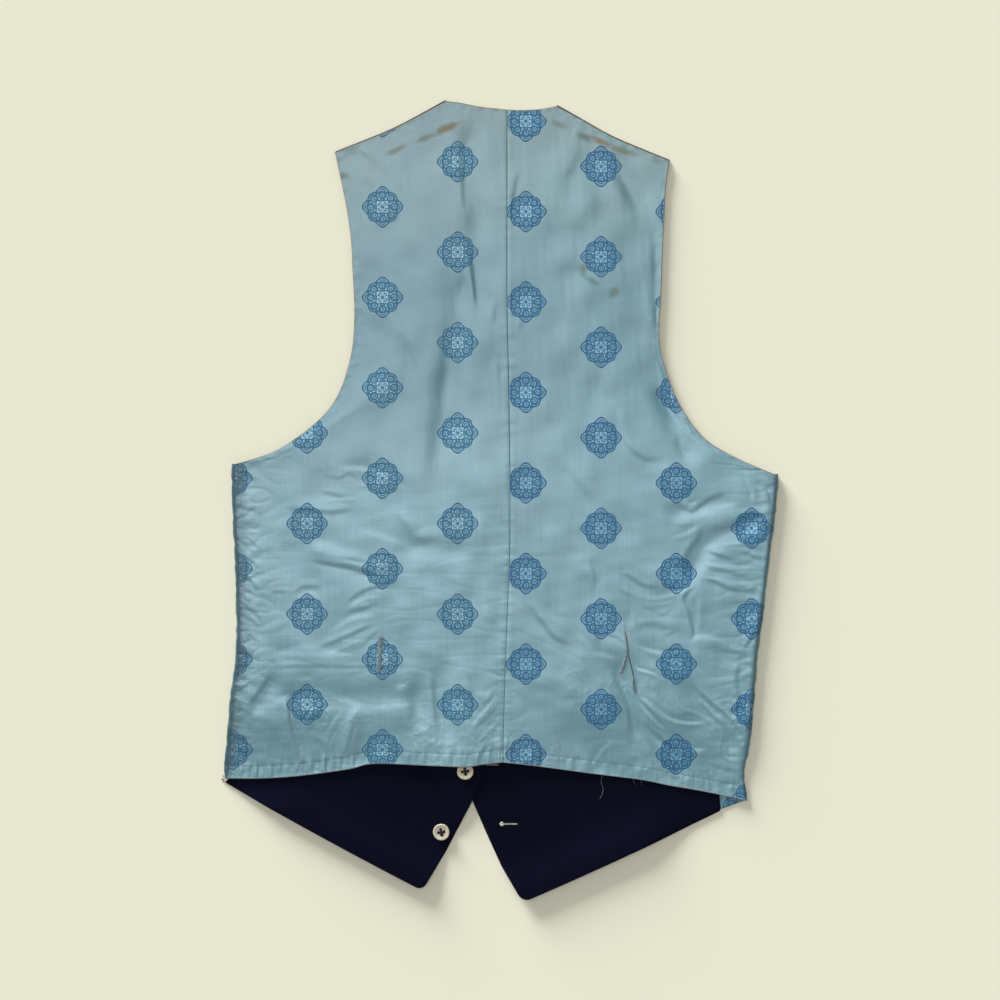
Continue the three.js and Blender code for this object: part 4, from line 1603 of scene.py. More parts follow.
def thread_mesh(name: str, runs: Sequence[Run], sides: int = 6, tip: float = 0.45) -> bpy.types.Object:
    """Thin round threads, each closed at both ends.

    Args:
        name: The object's name.
        runs: For each thread its points in millimetres and its radius.
        sides: Corners of its section.
        tip: Share of the radius that is left at the ends.

    Returns:
        The object.
    """
    vertices: list[Array] = []
    faces: list[tuple[int, ...]] = []
    total = 0
    turns = np.linspace(0, 2 * math.pi, sides, endpoint=False)
    for points, radius in runs:
        way = np.gradient(points, axis=0)
        way /= np.linalg.norm(way, axis=1, keepdims=True) + 1e-12
        beside = np.cross(way, (0.0, 0.0, 1.0))
        short = np.linalg.norm(beside, axis=1) < 1e-3
        beside[short] = (1.0, 0.0, 0.0)
        beside /= np.linalg.norm(beside, axis=1, keepdims=True)
        over = np.cross(beside, way)
        taper = np.ones(len(points))
        taper[0] = taper[-1] = tip
        ring = (
            beside[:, None] * np.cos(turns)[None, :, None]
            + over[:, None] * np.sin(turns)[None, :, None]
        ) * (radius * taper)[:, None, None]
        rings = points[:, None] + ring
        vertices.append(rings.reshape(-1, 3))
        for i in range(len(points) - 1):
            for j in range(sides):
                k = (j + 1) % sides
                a = total + i * sides
                b = a + sides
                faces.append((a + j, b + j, b + k, a + k))
        faces.append(tuple(total + j for j in range(sides)))
        last = total + (len(points) - 1) * sides
        faces.append(tuple(last + j for j in reversed(range(sides))))
        total += len(points) * sides
    mesh = bpy.data.meshes.new(name)
    mesh.from_pydata((np.concatenate(vertices) * MM).tolist(), [], faces)
    mesh.validate()
    mesh.update()
    mesh.shade_smooth()
    piece = bpy.data.objects.new(name, mesh)
    bpy.context.scene.collection.objects.link(piece)
    return piece


def arc_run(start: Array, end: Array, height: float, steps: int = 5) -> Array:
    """Points of a thread that arches from one place to another.

    Args:
        start: Where it leaves the cloth.
        end: Where it goes back in.
        height: How high it arches.
        steps: Points along it.

    Returns:
        The points.
    """
    t = np.linspace(0.0, 1.0, steps)[:, None]
    run = start * (1 - t) + end * t
    run[:, 2:] += height * 4 * t * (1 - t)
    return run


# How far the turned side hangs out of square at the hem
DROP = {Half.LEFT: 0.0, Half.RIGHT: 7.6}
DROP_REACH = 60.0

# Distances over which the back sinks to its edges, and the shares that stay up there
SINK_REACH = 70.0
TOP_SINK_REACH = 90.0
TOP_SHARE = 0.3
ARMHOLE_SHARE = 0.45
CALM_REACH = 16.0

# Usual widths of a half of the back and of a front
BACK_WIDTH = 235.0
FRONT_WIDTH = 230.0


@dataclass
class Gaps:
    """Distances from the points of a half to its edges.

    Attributes:
        hem: To the hem.
        top: To the neck and shoulder edge.
        outer: To the side or the armhole.
        armhole: How far the outer edge is an armhole, from 0 to 1.
    """

    hem: Array
    top: Array
    outer: Array
    armhole: Array


@dataclass
class BackHalf:
    """One half of the silk back with its side turned under.

    Attributes:
        half: Which half it is.
        step: Height of a cell below the underarm.
        upper_step: Height of a cell above it.
        column_step: Width of a cell.
        turn_steps: Steps round the turned side.
        inner_steps: Steps across the silk under it.
        ridge_level: Height over the doubled fronts and the buttons.
        ridge_x: Middle of that ridge.
        ridge_half_width: Distance over which it fades to the sides.
        ridge_top: Height up the body at which it has faded.
        ridge_fade: Distance over which it fades upwards.
        fold_share: How much of the solids' largest folds shows.
        wobble: How uneven the folded side is.
        side_share: Share of the rows that is below the underarm.
        neck_share: Share of the top edge that is the neck.
        hem_turn: Width of the turned up hem.
        bulge: How far the edges round out, as a share of half the wall.
    """

    half: Half
    step: float = 1.3
    upper_step: float = 2.0
    column_step: float = 1.35
    turn_steps: int = 12
    inner_steps: int = 8
    ridge_level: float = 8.1
    ridge_x: float = -26.0
    ridge_half_width: float = 80.0
    ridge_top: float = 92.0
    ridge_fade: float = 80.0
    fold_share: float = 0.6
    wobble: float = 0.35
    side_share: float = 17.0 / 37.0
    neck_share: float = 5.0 / 17.0
    hem_turn: float = 11.0
    bulge: float = 0.25

    def _level(self, x: Array, y: Array, gaps: Gaps) -> Array:
        """Height of the middle of the wall before the finer folds.

        Args:
            x: The points' x.
            y: The points' y.
            gaps: Their distances to the edges.

        Returns:
            The heights.
        """
        rows = np.array(BODY)
        body = np.interp(y, rows[:, 0], rows[:, 1])
        settled = ARMHOLE_SHARE + (1 - ARMHOLE_SHARE) * ease(gaps.outer / SINK_REACH + (1 - gaps.armhole))
        rise = ease(gaps.hem / SINK_REACH) * settled
        rise *= TOP_SHARE + (1 - TOP_SHARE) * ease(gaps.top / TOP_SINK_REACH)
        calm = ease(gaps.outer / CALM_REACH) * ease(gaps.hem / CALM_REACH) * ease(gaps.top / CALM_REACH)
        level = EDGE_LEVEL + (body - EDGE_LEVEL) * rise
        ridge = (self.ridge_level - level) * bell(x - self.ridge_x, self.ridge_half_width)
        level = level + ridge * ease((self.ridge_top - y) / self.ridge_fade)
        return np.maximum(LOWEST_LEVEL, level + self.fold_share * fold_rise(x, y) * calm)

    def _fine(self, x: Array, y: Array, gaps: Gaps, seam: Array) -> Array:
        """Rise of the finer folds, the sewing and the crumpled places.

        Args:
            x: The points' x.
            y: The points' y.
            gaps: Their distances to the edges.
            seam: Their distances to the centre seam.

        Returns:
            The rise.
        """
        calm = ease(gaps.outer / 9.0 + 0.25) * ease(gaps.hem / 9.0 + 0.3) * ease(gaps.top / 12.0 + 0.15)
        lower = ease((60.0 - y) / 140.0)
        upper = ease((y + 60.0) / 160.0)
        rise = flank_rise(x, y, FLANKS) * calm
        rise += ripple(x, y, 7, 46.0) * 0.16 * calm
        rise += ripple(x, y, 11, 19.0) * (0.02 + 0.03 * lower) * calm
        rise += ripple(x * 1.6, y * 0.32, 5, 15.0) * 0.014 * upper * calm
        rise -= 0.06 * creases(x * 0.6 + y * 0.3, y, 91 + self.half.value, 36.0, 0.2) * lower * calm
        # Pressed seam with small puckers on both sides
        rise += 0.04 * (bell(seam - 3.2, 2.0) - bell(seam, 0.8))
        rise += 0.07 * ripple(x * 0.1, y, 3, 7.0) * bell(seam, 6.0)
        # Armhole and top edges are sewn over and pull slightly
        rim = np.minimum(gaps.top, np.where(gaps.armhole > 0.5, gaps.outer, FAR))
        rise += 0.05 * ripple(x, y, 51, 8.0) * bell(rim, 7.0) - 0.03 * bell(rim - 2.6, 0.9)
        return rise + self._hem_rise(x, y, gaps.hem) + self._side_rise(x, y, gaps)

    def _hem_rise(self, x: Array, y: Array, hem: Array) -> Array:
        """Rise of the hem, turned up, sewn and gathered a little by its stitches.

        Args:
            x: The points' x.
            y: The points' y.
            hem: Their distances to the hem.

        Returns:
            The rise.
        """
        side = self.half.value
        gather = ripple(x, y * 0.15, 21 + side, 5.5)
        wide = ripple(x, y * 0.1, 31 + side, 17.0)
        gathered = 0.12 + 0.16 * ease((-120.0 - x) / 30.0) - 0.04 * ease(x / 30.0)
        band = ease((self.hem_turn + 1.0 - hem) / 2.5) * ease(hem / 1.2)
        rise = 0.08 * ease((self.hem_turn - hem) / 3.0) * ease(hem / 1.5)
        rise -= 0.05 * bell(hem - self.hem_turn, 0.9)
        rise += (gathered * gather + 0.15 * wide) * bell(hem - self.hem_turn + 4.0, 6.5)
        rise -= 0.3 * creases(x, y * 0.08, 101 + side, 7.5, 0.4) * band * (0.3 + 2.8 * gathered)
        crumpled = creases(x, y * 0.25, 81 + side, 12.0) * ease(hem / 1.5)
        return rise - 0.13 * crumpled * bell(hem - 10.0, 16.0)

    def _side_rise(self, x: Array, y: Array, gaps: Gaps) -> Array:
        """Rise of the silk that is crumpled and pulled beside the folded side.

        Args:
            x: The points' x.
            y: The points' y.
            gaps: Their distances to the edges.

        Returns:
            The rise.
        """
        side = self.half.value
        crumpled = creases(x * 0.42 + y * 0.12, y, 71 + side, 14.0) * ease(gaps.hem / 8.0)
        tugged = ripple(x * 0.5, y, 41 + side, 9.0)
        rise = 0.06 * tugged * bell(gaps.outer - 9.0, 9.0) - 0.13 * crumpled * bell(gaps.outer - 14.0, 24.0)
        return rise * (1 - gaps.armhole)

    def fold_line(self, share: Array) -> Array:
        """Line at which the side starts to turn under.

        Args:
            share: Shares of the side from the hem.

        Returns:
            The points.
        """
        points = Path2D(SIDE[self.half], True).at(share)
        hem = np.hypot(*(points - points[0]).T)
        zero = np.zeros(len(points))
        level = self._level(points[:, 0], points[:, 1], Gaps(hem, zero + 40.0, zero, zero))
        level[0] = EDGE_LEVEL
        radius = (level - TURNED_LEVEL + BACK_WALL) / 2
        points[:, 0] -= self.half.value * radius
        points[-1, 1] = ARMHOLE[self.half][0][1]
        return points

    def turned(self, y: Array, share: Array) -> tuple[Array, Array]:
        """How wide the side is turned under, and how far that hangs out of square.

        Args:
            y: Places up the side, from the hem.
            share: Shares of the side there.

        Returns:
            The widths and the drops.
        """
        table = np.array(SIDE[self.half])
        height = Path2D(SIDE[self.half], True).at(share)[:, 1]
        width = np.interp(height, table[:, 1], table[:, 2])
        return width, DROP[self.half] * (1 - ease((y - y[0]) / DROP_REACH))

    def build(self) -> bpy.types.Object:
        """Makes the half and its numbers for the finish.

        Returns:
            The object.
        """
        side = self.half.value
        low_path = Path2D(LOWER_SEAM, True)
        high_path = Path2D(UPPER_SEAM, True)
        arm_path = Path2D(ARMHOLE[self.half], True)
        hem_path = Path2D(HEM[self.half], True)
        neck_path = Path2D(NECK[self.half], True)
        shoulder_path = Path2D(SHOULDER[self.half], True)
        side_length = Path2D(SIDE[self.half], True).length
        low = graded(side_length, self.step, 0.9, 16.0, (True, False))
        high = graded(arm_path.length, self.upper_step, 0.9, 9.0, (False, True))
        columns = graded(BACK_WIDTH, self.column_step, 0.6, 6.0, (True, True))
        rows = np.concatenate([low * self.side_share, self.side_share + high[1:] * (1 - self.side_share)])
        inner = np.vstack([low_path.at(low), high_path.at(high[1:])])
        inner[:, 0] += side * SEAM_GAP / 2
        outer = np.vstack([self.fold_line(low), arm_path.at(high[1:])])
        # The ends of the hem and of the neck are drawn to the corners of the sheet
        near, far = ((1 - columns) ** 8)[:, None], (columns**8)[:, None]
        bottom = hem_path.at(columns)
        bottom += (inner[0] - bottom[0]) * near
        bottom += (outer[0] - bottom[-1]) * far
        neck = neck_path.at(np.clip(columns / self.neck_share, 0, 1))
        slope = shoulder_path.at(np.clip((columns - self.neck_share) / (1 - self.neck_share), 0, 1))
        top = np.where((columns <= self.neck_share)[:, None], neck, slope)
        top += (inner[-1] - top[0]) * near
        plane = Patch(bottom, top, inner, outer, rows, columns).points()
        x, y = plane[..., 0], plane[..., 1]
        armhole = ease((rows - self.side_share) * 37.0 / 10.0)[:, None] * np.ones_like(x)
        above = armhole > 0.02
        side_gap = np.hypot(x - outer[:, None, 0], y - outer[:, None, 1])
        along = Gaps(
            hem=np.hypot(x - bottom[None, :, 0], y - bottom[None, :, 1]),
            top=np.hypot(x - top[None, :, 0], y - top[None, :, 1]),
            outer=side_gap,
            armhole=armhole,
        )
        arm_gap = arm_path.gap(x, y)
        true = Gaps(
            hem=hem_path.gap(x, y),
            top=np.minimum(neck_path.gap(x, y), shoulder_path.gap(x, y)),
            outer=np.where(above, arm_gap, side_gap),
            armhole=above.astype(float),
        )
        z = self._level(x, y, along) + self._fine(x, y, true, np.abs(x - inner[:, None, 0]))
        main = np.dstack([x, y, np.maximum(z, LOWEST_LEVEL - 0.05 + 0.12 * np.tanh(z - LOWEST_LEVEL))])
        turned, across = self._turn(main[: len(low)], low)
        grid = np.concatenate([main, np.zeros((len(rows), turned.shape[1], 3))], axis=1)
        grid[: len(low), len(columns) :] = turned
        cells = np.ones((len(rows) - 1, grid.shape[1] - 1), dtype=bool)
        cells[len(low) - 1 :, len(columns) - 1 :] = False
        uv = grid[..., :2].copy()
        uv[: len(low), len(columns) :, 0] = x[: len(low), -1:] + side * across
        uv[: len(low), len(columns) :, 1] = y[: len(low), -1:]
        rim = np.minimum(np.where(armhole > 0.0, arm_gap, FAR), true.top)
        values = {
            "edge": self._wide(rim, turned.shape[1], FAR),
            "hem": self._wide(true.hem, turned.shape[1], FAR),
            "side": self._wide(np.where(above, FAR, side_gap), turned.shape[1], 0.0),
        }
        values["side"][: len(low), len(columns) :] = -across
        body = ClothMesh(grid, cells, BACK_WALL, side < 0)
        return body.build(f"silk_{self.half.name.lower()}", values, uv, self.bulge)

    @staticmethod
    def _wide(values: Array, extra: int, fill: float) -> Array:
        """Widens a grid of numbers by more columns.

        Args:
            values: The numbers.
            extra: How many columns are added.
            fill: What they hold.

        Returns:
            The wider grid.
        """
        return np.concatenate([values, np.full((len(values), extra), fill)], axis=1)

    def _turn(self, main: Array, share: Array) -> tuple[Array, Array]:
        """Turns the side under.

        Args:
            main: The rows of the half beside the turned side.
            share: Shares of the side at the rows.

        Returns:
            The added points, and how far round each one is.
        """
        side = self.half.value
        start = main[:, -1]
        height = start[:, 1]
        width, sink = self.turned(height, share)
        radius = (start[:, 2] - TURNED_LEVEL) / 2
        uneven = ripple(height * 0.0, height, 111 + side, 24.0)
        uneven += 0.6 * ripple(height * 0.0, height, 121 + side, 8.0)
        uneven *= self.wobble * ease((height - height[0]) / 6.0) * ease((height[-1] - height) / 6.0)
        points, across = [], []
        for step in range(1, self.turn_steps + 1):
            angle = math.pi * step / self.turn_steps
            x = start[:, 0] + side * (radius + uneven) * math.sin(angle)
            z = start[:, 2] - radius * (1 - math.cos(angle))
            points.append(np.stack([x, height, z], axis=1))
            across.append(radius * angle)
        for step in range(1, self.inner_steps + 1):
            part = step / self.inner_steps
            x = start[:, 0] - side * width * part
            level = np.full(len(height), TURNED_LEVEL)
            points.append(np.stack([x, height - sink * part, level], axis=1))
            across.append(radius * math.pi + width * part)
        return np.stack(points, axis=1), np.stack(across, axis=1)


@dataclass
class FrontPiece:
    """One wool front, flat on the table.

    Attributes:
        half: Which half it is.
        step: Size of a cell.
        curl: How far its hem stands off the table.
        curl_end: Distance from the middle at which the hem lies flat again.
        inset: How far its armhole lies inside the back's.
        seam_gap: Gap to the turned edge of the back.
        shoulder: How far its shoulder stands out beyond the back's, out and up.
    """

    half: Half
    step: float = 2.4
    curl: float = 5.5
    curl_end: float = 168.0
    inset: float = 1.5
    seam_gap: float = 0.4
    shoulder: tuple[float, float] = (0.3, 0.6)

    def _seam(self, share: Array) -> Array:
        """Side seam along the turned edge of the back.

        Args:
            share: Shares of the side from the hem.

        Returns:
            The points.
        """
        back = BackHalf(self.half)
        line = back.fold_line(share)
        width, sink = back.turned(line[:, 1], share)
        x = line[:, 0] - self.half.value * (width + self.seam_gap)
        points = np.stack([x, line[:, 1] - sink], axis=1)
        points[0, 1] -= 0.7
        # The last stretch eases down to the armhole, which lies inside the back's
        points[:, 1] -= self.inset * ease((points[:, 1] - points[-1, 1] + 14.0) / 14.0)
        return points

    def build(self) -> bpy.types.Object:
        """Makes the front.

        Returns:
            The object.
        """
        side = self.half.value
        side_length = Path2D(SIDE[self.half], True).length
        low = graded(side_length, self.step, self.step, 9.0, (False, False))
        arm = Path2D(ARMHOLE[self.half], True)
        high = graded(arm.length, self.step, self.step, 9.0, (False, False))[1:]
        corner = np.array(FRONT_CORNER[self.half])
        armhole = arm.at(high)
        armhole[:-1, 0] -= side * self.inset
        armhole[: len(armhole) // 2, 1] -= self.inset
        lift = np.array([side * self.shoulder[0], self.shoulder[1]])
        armhole[-1] += lift
        seam = self._seam(low)
        foot = np.linspace(corner, seam[0], 5)[:-1]
        outer = np.vstack([foot, seam, armhole])
        columns = graded(FRONT_WIDTH, self.step, 1.0, 8.0, (True, False))
        rows = np.linspace(0, 1, len(outer))
        path = Path2D(FRONT_INNER[self.half], False)
        inner = path.at(rows)
        bottom = inner[0] + (corner - inner[0]) * columns[:, None]
        bottom[:, 1] -= FRONT_HEM_BOW * 4 * columns * (1 - columns)
        shoulder = np.array(SHOULDER[self.half]) + lift
        shoulder[0] = inner[-1]
        top = Path2D(shoulder, True).at(columns)
        top[-1] = outer[-1]
        plane = Patch(bottom, top, inner, outer, rows, columns).points()
        middle = bottom[len(bottom) // 2] - inner[0]
        plane = rounded_tip(plane, inner[0], path.points[1] - inner[0], middle, FRONT_TIP_RADIUS[self.half])
        x, y = plane[..., 0], plane[..., 1]
        rise = overlap_rise(x, y) if side < 0 else np.zeros_like(x)
        hem = Path2D(plane[0], False).gap(x, y)
        edge = np.minimum(Path2D(plane[:, 0], False).gap(x, y), hem)
        silk = np.array(HEM[self.half])[:: side]
        covered = np.interp(x, silk[:, 0], silk[:, 1]) - y
        fading = ease((self.curl_end - x) / 50.0)
        rise += self.curl * ease(1 - hem / 40.0) * ease((covered - 4.0) / 24.0) * fading
        roll = 0.22 * bell(edge - 4.6, 0.7) + 0.35 * bell(edge, 0.9)
        crown = 0.1 * (1 + ripple(x, y, 61 + side, 60.0)) * ease(edge / 14.0) - roll
        points = np.dstack([x, y, FRONT_WALL / 2 + rise])
        cells = np.ones((len(rows) - 1, len(columns) - 1), dtype=bool)
        body = ClothMesh(points, cells, FRONT_WALL, side < 0)
        piece = body.build(f"wool_{self.half.name.lower()}", {}, plane)
        self._crown(piece, crown.reshape(-1)[body.keep], len(body.points))
        return piece

    @staticmethod
    def _crown(piece: bpy.types.Object, crown: Array, count: int) -> None:
        """Moves the upper face alone, so that the underside stays flat.

        Args:
            piece: The front.
            crown: How far each point of the upper face moves up.
            count: How many points that face has.
        """
        places = np.empty(len(piece.data.vertices) * 3, dtype=np.float32)
        piece.data.vertices.foreach_get("co", places)
        places = places.reshape(-1, 3)
        places[:count, 2] += crown * MM
        piece.data.vertices.foreach_set("co", places.ravel())
        piece.data.update()


@dataclass
class Button:
    """Four-hole button with a rounded rim and a sunk middle.

    Attributes:
        x: Middle across.
        y: Middle up the waistcoat.
        turn: Turn of its holes in degrees.
        seat: Height of its underside.
        radius: Its radius.
        height: Its height.
        hole: Radius of a hole.
        offset: Distance from the middle to a hole's middle.
        rim: Width of the raised rim.
        slope: Width of the slope inside it.
        dish: How deep the middle is sunk.
        foot: Width of the rounded part underneath.
        rounding: Width of the rounded edges.
    """

    x: float
    y: float
    turn: float
    seat: float
    radius: float = 7.0
    height: float = 2.3
    hole: float = 1.4
    offset: float = 2.3
    rim: float = 1.3
    slope: float = 1.0
    dish: float = 0.4
    foot: float = 1.9
    rounding: float = 0.62

    def build(self, name: str) -> bpy.types.Object:
        """Makes the button.

        Args:
            name: Its name.

        Returns:
            The object.
        """
        bpy.ops.object.select_all(action="DESELECT")
        bpy.ops.mesh.primitive_cylinder_add(
            vertices=64, radius=self.radius * MM, depth=self.height * MM, end_fill_type="NGON"
        )
        piece = bpy.context.object
        piece.name = name
        self._form(piece)
        for i in range(4):
            self._drill(piece, math.radians(self.turn + 90 * i))
        seat = (self.x * MM, self.y * MM, (self.seat + self.height / 2) * MM)
        piece.data.transform(Matrix.Translation(seat))
        piece.data.shade_smooth()
        piece.data.set_sharp_from_angle(angle=math.radians(50))
        return piece

    def _form(self, piece: bpy.types.Object) -> None:
        """Sinks the middle and rounds the rim.

        Args:
            piece: The plain disc.
        """
        bpy.context.view_layer.objects.active = piece
        piece.select_set(True)
        bpy.ops.object.mode_set(mode="EDIT")
        bpy.ops.mesh.select_mode(type="FACE")
        self._pick_cap(piece, True)
        bpy.ops.mesh.inset(thickness=self.rim * MM, depth=0.0)
        bpy.ops.mesh.inset(thickness=self.slope * MM, depth=-self.dish * MM)
        self._pick_cap(piece, False)
        bpy.ops.mesh.inset(thickness=self.foot * MM, depth=0.0)
        bpy.ops.mesh.select_all(action="DESELECT")
        bpy.ops.object.mode_set(mode="OBJECT")
        bevel = piece.modifiers.new("rim", "BEVEL")
        bevel.width = self.rounding * MM
        bevel.segments = 4
        bevel.limit_method = "ANGLE"
        bevel.angle_limit = math.radians(25)
        bpy.ops.object.modifier_apply(modifier=bevel.name)

    @staticmethod
    def _pick_cap(piece: bpy.types.Object, up: bool) -> None:
        """Selects the flat face at the top or at the bottom.

        Args:
            piece: The disc, in edit mode.
            up: Whether it is the top one.
        """
        bpy.ops.mesh.select_all(action="DESELECT")
        bpy.ops.object.mode_set(mode="OBJECT")
        way = 1 if up else -1
        for polygon in piece.data.polygons:
            cap = polygon.normal.z * way > 0.9 and polygon.area > 1e-5
            polygon.select = bool(cap)
        bpy.ops.object.mode_set(mode="EDIT")

    def _drill(self, piece: bpy.types.Object, angle: float) -> None:
        """Cuts one hole.

        Args:
            piece: The button.
            angle: Where the hole is.
        """
        bpy.ops.object.select_all(action="DESELECT")
        place = (self.offset * math.cos(angle) * MM, self.offset * math.sin(angle) * MM, 0)
        bpy.ops.mesh.primitive_cylinder_add(
            vertices=20, radius=self.hole * MM, depth=self.height * 3 * MM, location=place
        )
        drill = bpy.context.object
        cut = piece.modifiers.new("hole", "BOOLEAN")
        cut.operation = "DIFFERENCE"
        cut.solver = "EXACT"
        cut.object = drill
        bpy.ops.object.select_all(action="DESELECT")
        bpy.context.view_layer.objects.active = piece
        piece.select_set(True)
        bpy.ops.object.modifier_apply(modifier=cut.name)
        bpy.data.objects.remove(drill, do_unlink=True)

    def threads(self) -> list[Run]:
        """Crossed threads over the four holes.

        Returns:
            Their runs.
        """
        runs = []
        top = self.seat + self.height - 0.6
        for i in range(2):
            angle = math.radians(self.turn + 90 * i)
            for shift in (-0.5, 0.5):
                way = np.array([math.cos(angle), math.sin(angle), 0.0])
                beside = np.array([-way[1], way[0], 0.0]) * shift
                middle = np.array([self.x, self.y, top]) + beside
                t = np.linspace(-1, 1, 9)[:, None]
                run = middle + way * t * (self.offset + 0.1)
                run[:, 2:] += 0.32 + 0.12 * i - 0.9 * np.abs(t) ** 6
                runs.append((run, 0.52))
        return runs


@dataclass
class Buttonhole:
    """Worked keyhole buttonhole.

    Attributes:
        x: Middle of its eyelet.
        y: Line of its slit.
        level: Height of the cloth.
        eyelet: Radius of the eyelet's inner edge.
        length: Length of the slit.
        round_stitches: Stitches round the eyelet.
        side_stitches: Stitches along each side of the slit.
    """

    x: float
    y: float
    level: float = FRONT_WALL
    eyelet: float = 1.7
    length: float = 12.9
    round_stitches: int = 22
    side_stitches: int = 30

    def threads(self) -> list[Run]:
        """Stitches side by side round the slit and the eyelet.

        Returns:
            Their runs.
        """
        source = random.Random(int(self.y * 10))
        runs = []
        for i in range(self.round_stitches):
            angle = math.radians(22 + 316 * i / (self.round_stitches - 1))
            way = np.array([math.cos(angle), math.sin(angle), 0.0])
            middle = np.array([self.x, self.y, self.level])
            start = middle + way * 0.2
            end = middle + way * (self.eyelet + source.uniform(0.1, 0.4))
            runs.append((arc_run(start, end, 0.3), 0.2))
        for side in (-1, 1):
            for i in range(self.side_stitches):
                share = (i + source.uniform(-0.2, 0.2)) / (self.side_stitches - 1)
                x = self.x + 1.5 + (self.length - 1.5) * share
                start = np.array([x, self.y + side * 0.06, self.level])
                reach = source.uniform(0.5, 0.72)
                end = np.array([x + source.uniform(-0.12, 0.12), self.y + side * reach, self.level])
                runs.append((arc_run(start, end, 0.15), 0.15))
        return runs


class Seat:
    """Reads the height of the finished silk at a place."""

    def __init__(self, pieces: Sequence[bpy.types.Object]) -> None:
        """Keeps the pieces.

        Args:
            pieces: The silk halves.
        """
        depsgraph = bpy.context.evaluated_depsgraph_get()
        self.trees = [BVHTree.FromObject(piece, depsgraph) for piece in pieces]

    def at(self, x: float, y: float) -> float:
        """Height of the top of the silk in millimetres.

        Args:
            x: Place across.
            y: Place up.

        Returns:
            The height.
        """
        best = FRONT_WALL
        above = 100.0
        for tree in self.trees:
            hit = tree.ray_cast((x * MM, y * MM, above * MM), (0, 0, -1))[0]
            if hit is not None:
                best = max(best, hit.z / MM)
        return best


# Stubs of the waist straps: the line sewn, width at its top and at its end, which tangle
STRAP_STUBS = (
    (((-101.2, -115.3), (-102.0, -130.0), (-102.9, -146.0)), (4.6, 4.8), 4),
    (((106.4, -113.5), (107.8, -121.5), (108.2, -128.0)), (2.2, 3.4), 9),
    (((107.6, -130.0), (105.8, -138.0), (102.9, -147.0)), (1.6, 5.0), 12),
)

# Rows of dark stitches beside them: the line, distance from one to the next, radius
STRAP_STITCHES = (
    (((-102.3, -115.5), (-103.2, -130.0), (-104.2, -145.0)), 1.9, 0.26),
    (((-100.4, -116.5), (-101.2, -130.0), (-102.0, -144.5)), 2.3, 0.24),
    (((104.6, -95.2), (105.4, -104.0), (106.2, -113.5)), 1.6, 0.26),
    (((106.8, -116.0), (108.2, -124.0), (107.2, -133.0), (104.6, -143.0)), 2.1, 0.28),
)

# Loose threads at the right stub and below the hem: the course and the radius
STRAP_THREADS = (
    (((106.4, -112.0), (108.0, -121.0), (108.6, -129.0), (111.4, -140.3), (113.2, -150.0)), 0.3),
    (((108.8, -132.0), (111.8, -143.0), (114.0, -154.0), (115.6, -164.0)), 0.32),
    (((110.2, -138.0), (113.2, -148.0), (113.4, -160.0), (115.2, -165.0)), 0.26),
)
HEM_THREADS = (
    (((87.6, -234.6), (86.0, -240.0), (88.0, -247.0), (85.0, -255.0)), 0.11),
    (((113.0, -236.0), (114.5, -241.5), (118.5, -247.0), (119.5, -251.5)), 0.11),
    (((119.5, -237.0), (121.0, -243.0), (119.5, -248.0), (116.0, -250.0)), 0.11),
)

# Ends of lining that hang out at the left corner: the course in space and the radius
LINING_ENDS = (
    (((-234.4, -238.6, 1.0), (-236.2, -238.4, 1.2), (-237.6, -237.2, 1.0)), 0.6),
    (((-234.2, -239.8, 0.8), (-235.8, -240.2, 1.0), (-237.0, -239.4, 0.9)), 0.5),
    (((-235.0, -237.0, 1.4), (-235.8, -236.0, 1.4), (-235.8, -234.5, 1.3)), 0.4),
)


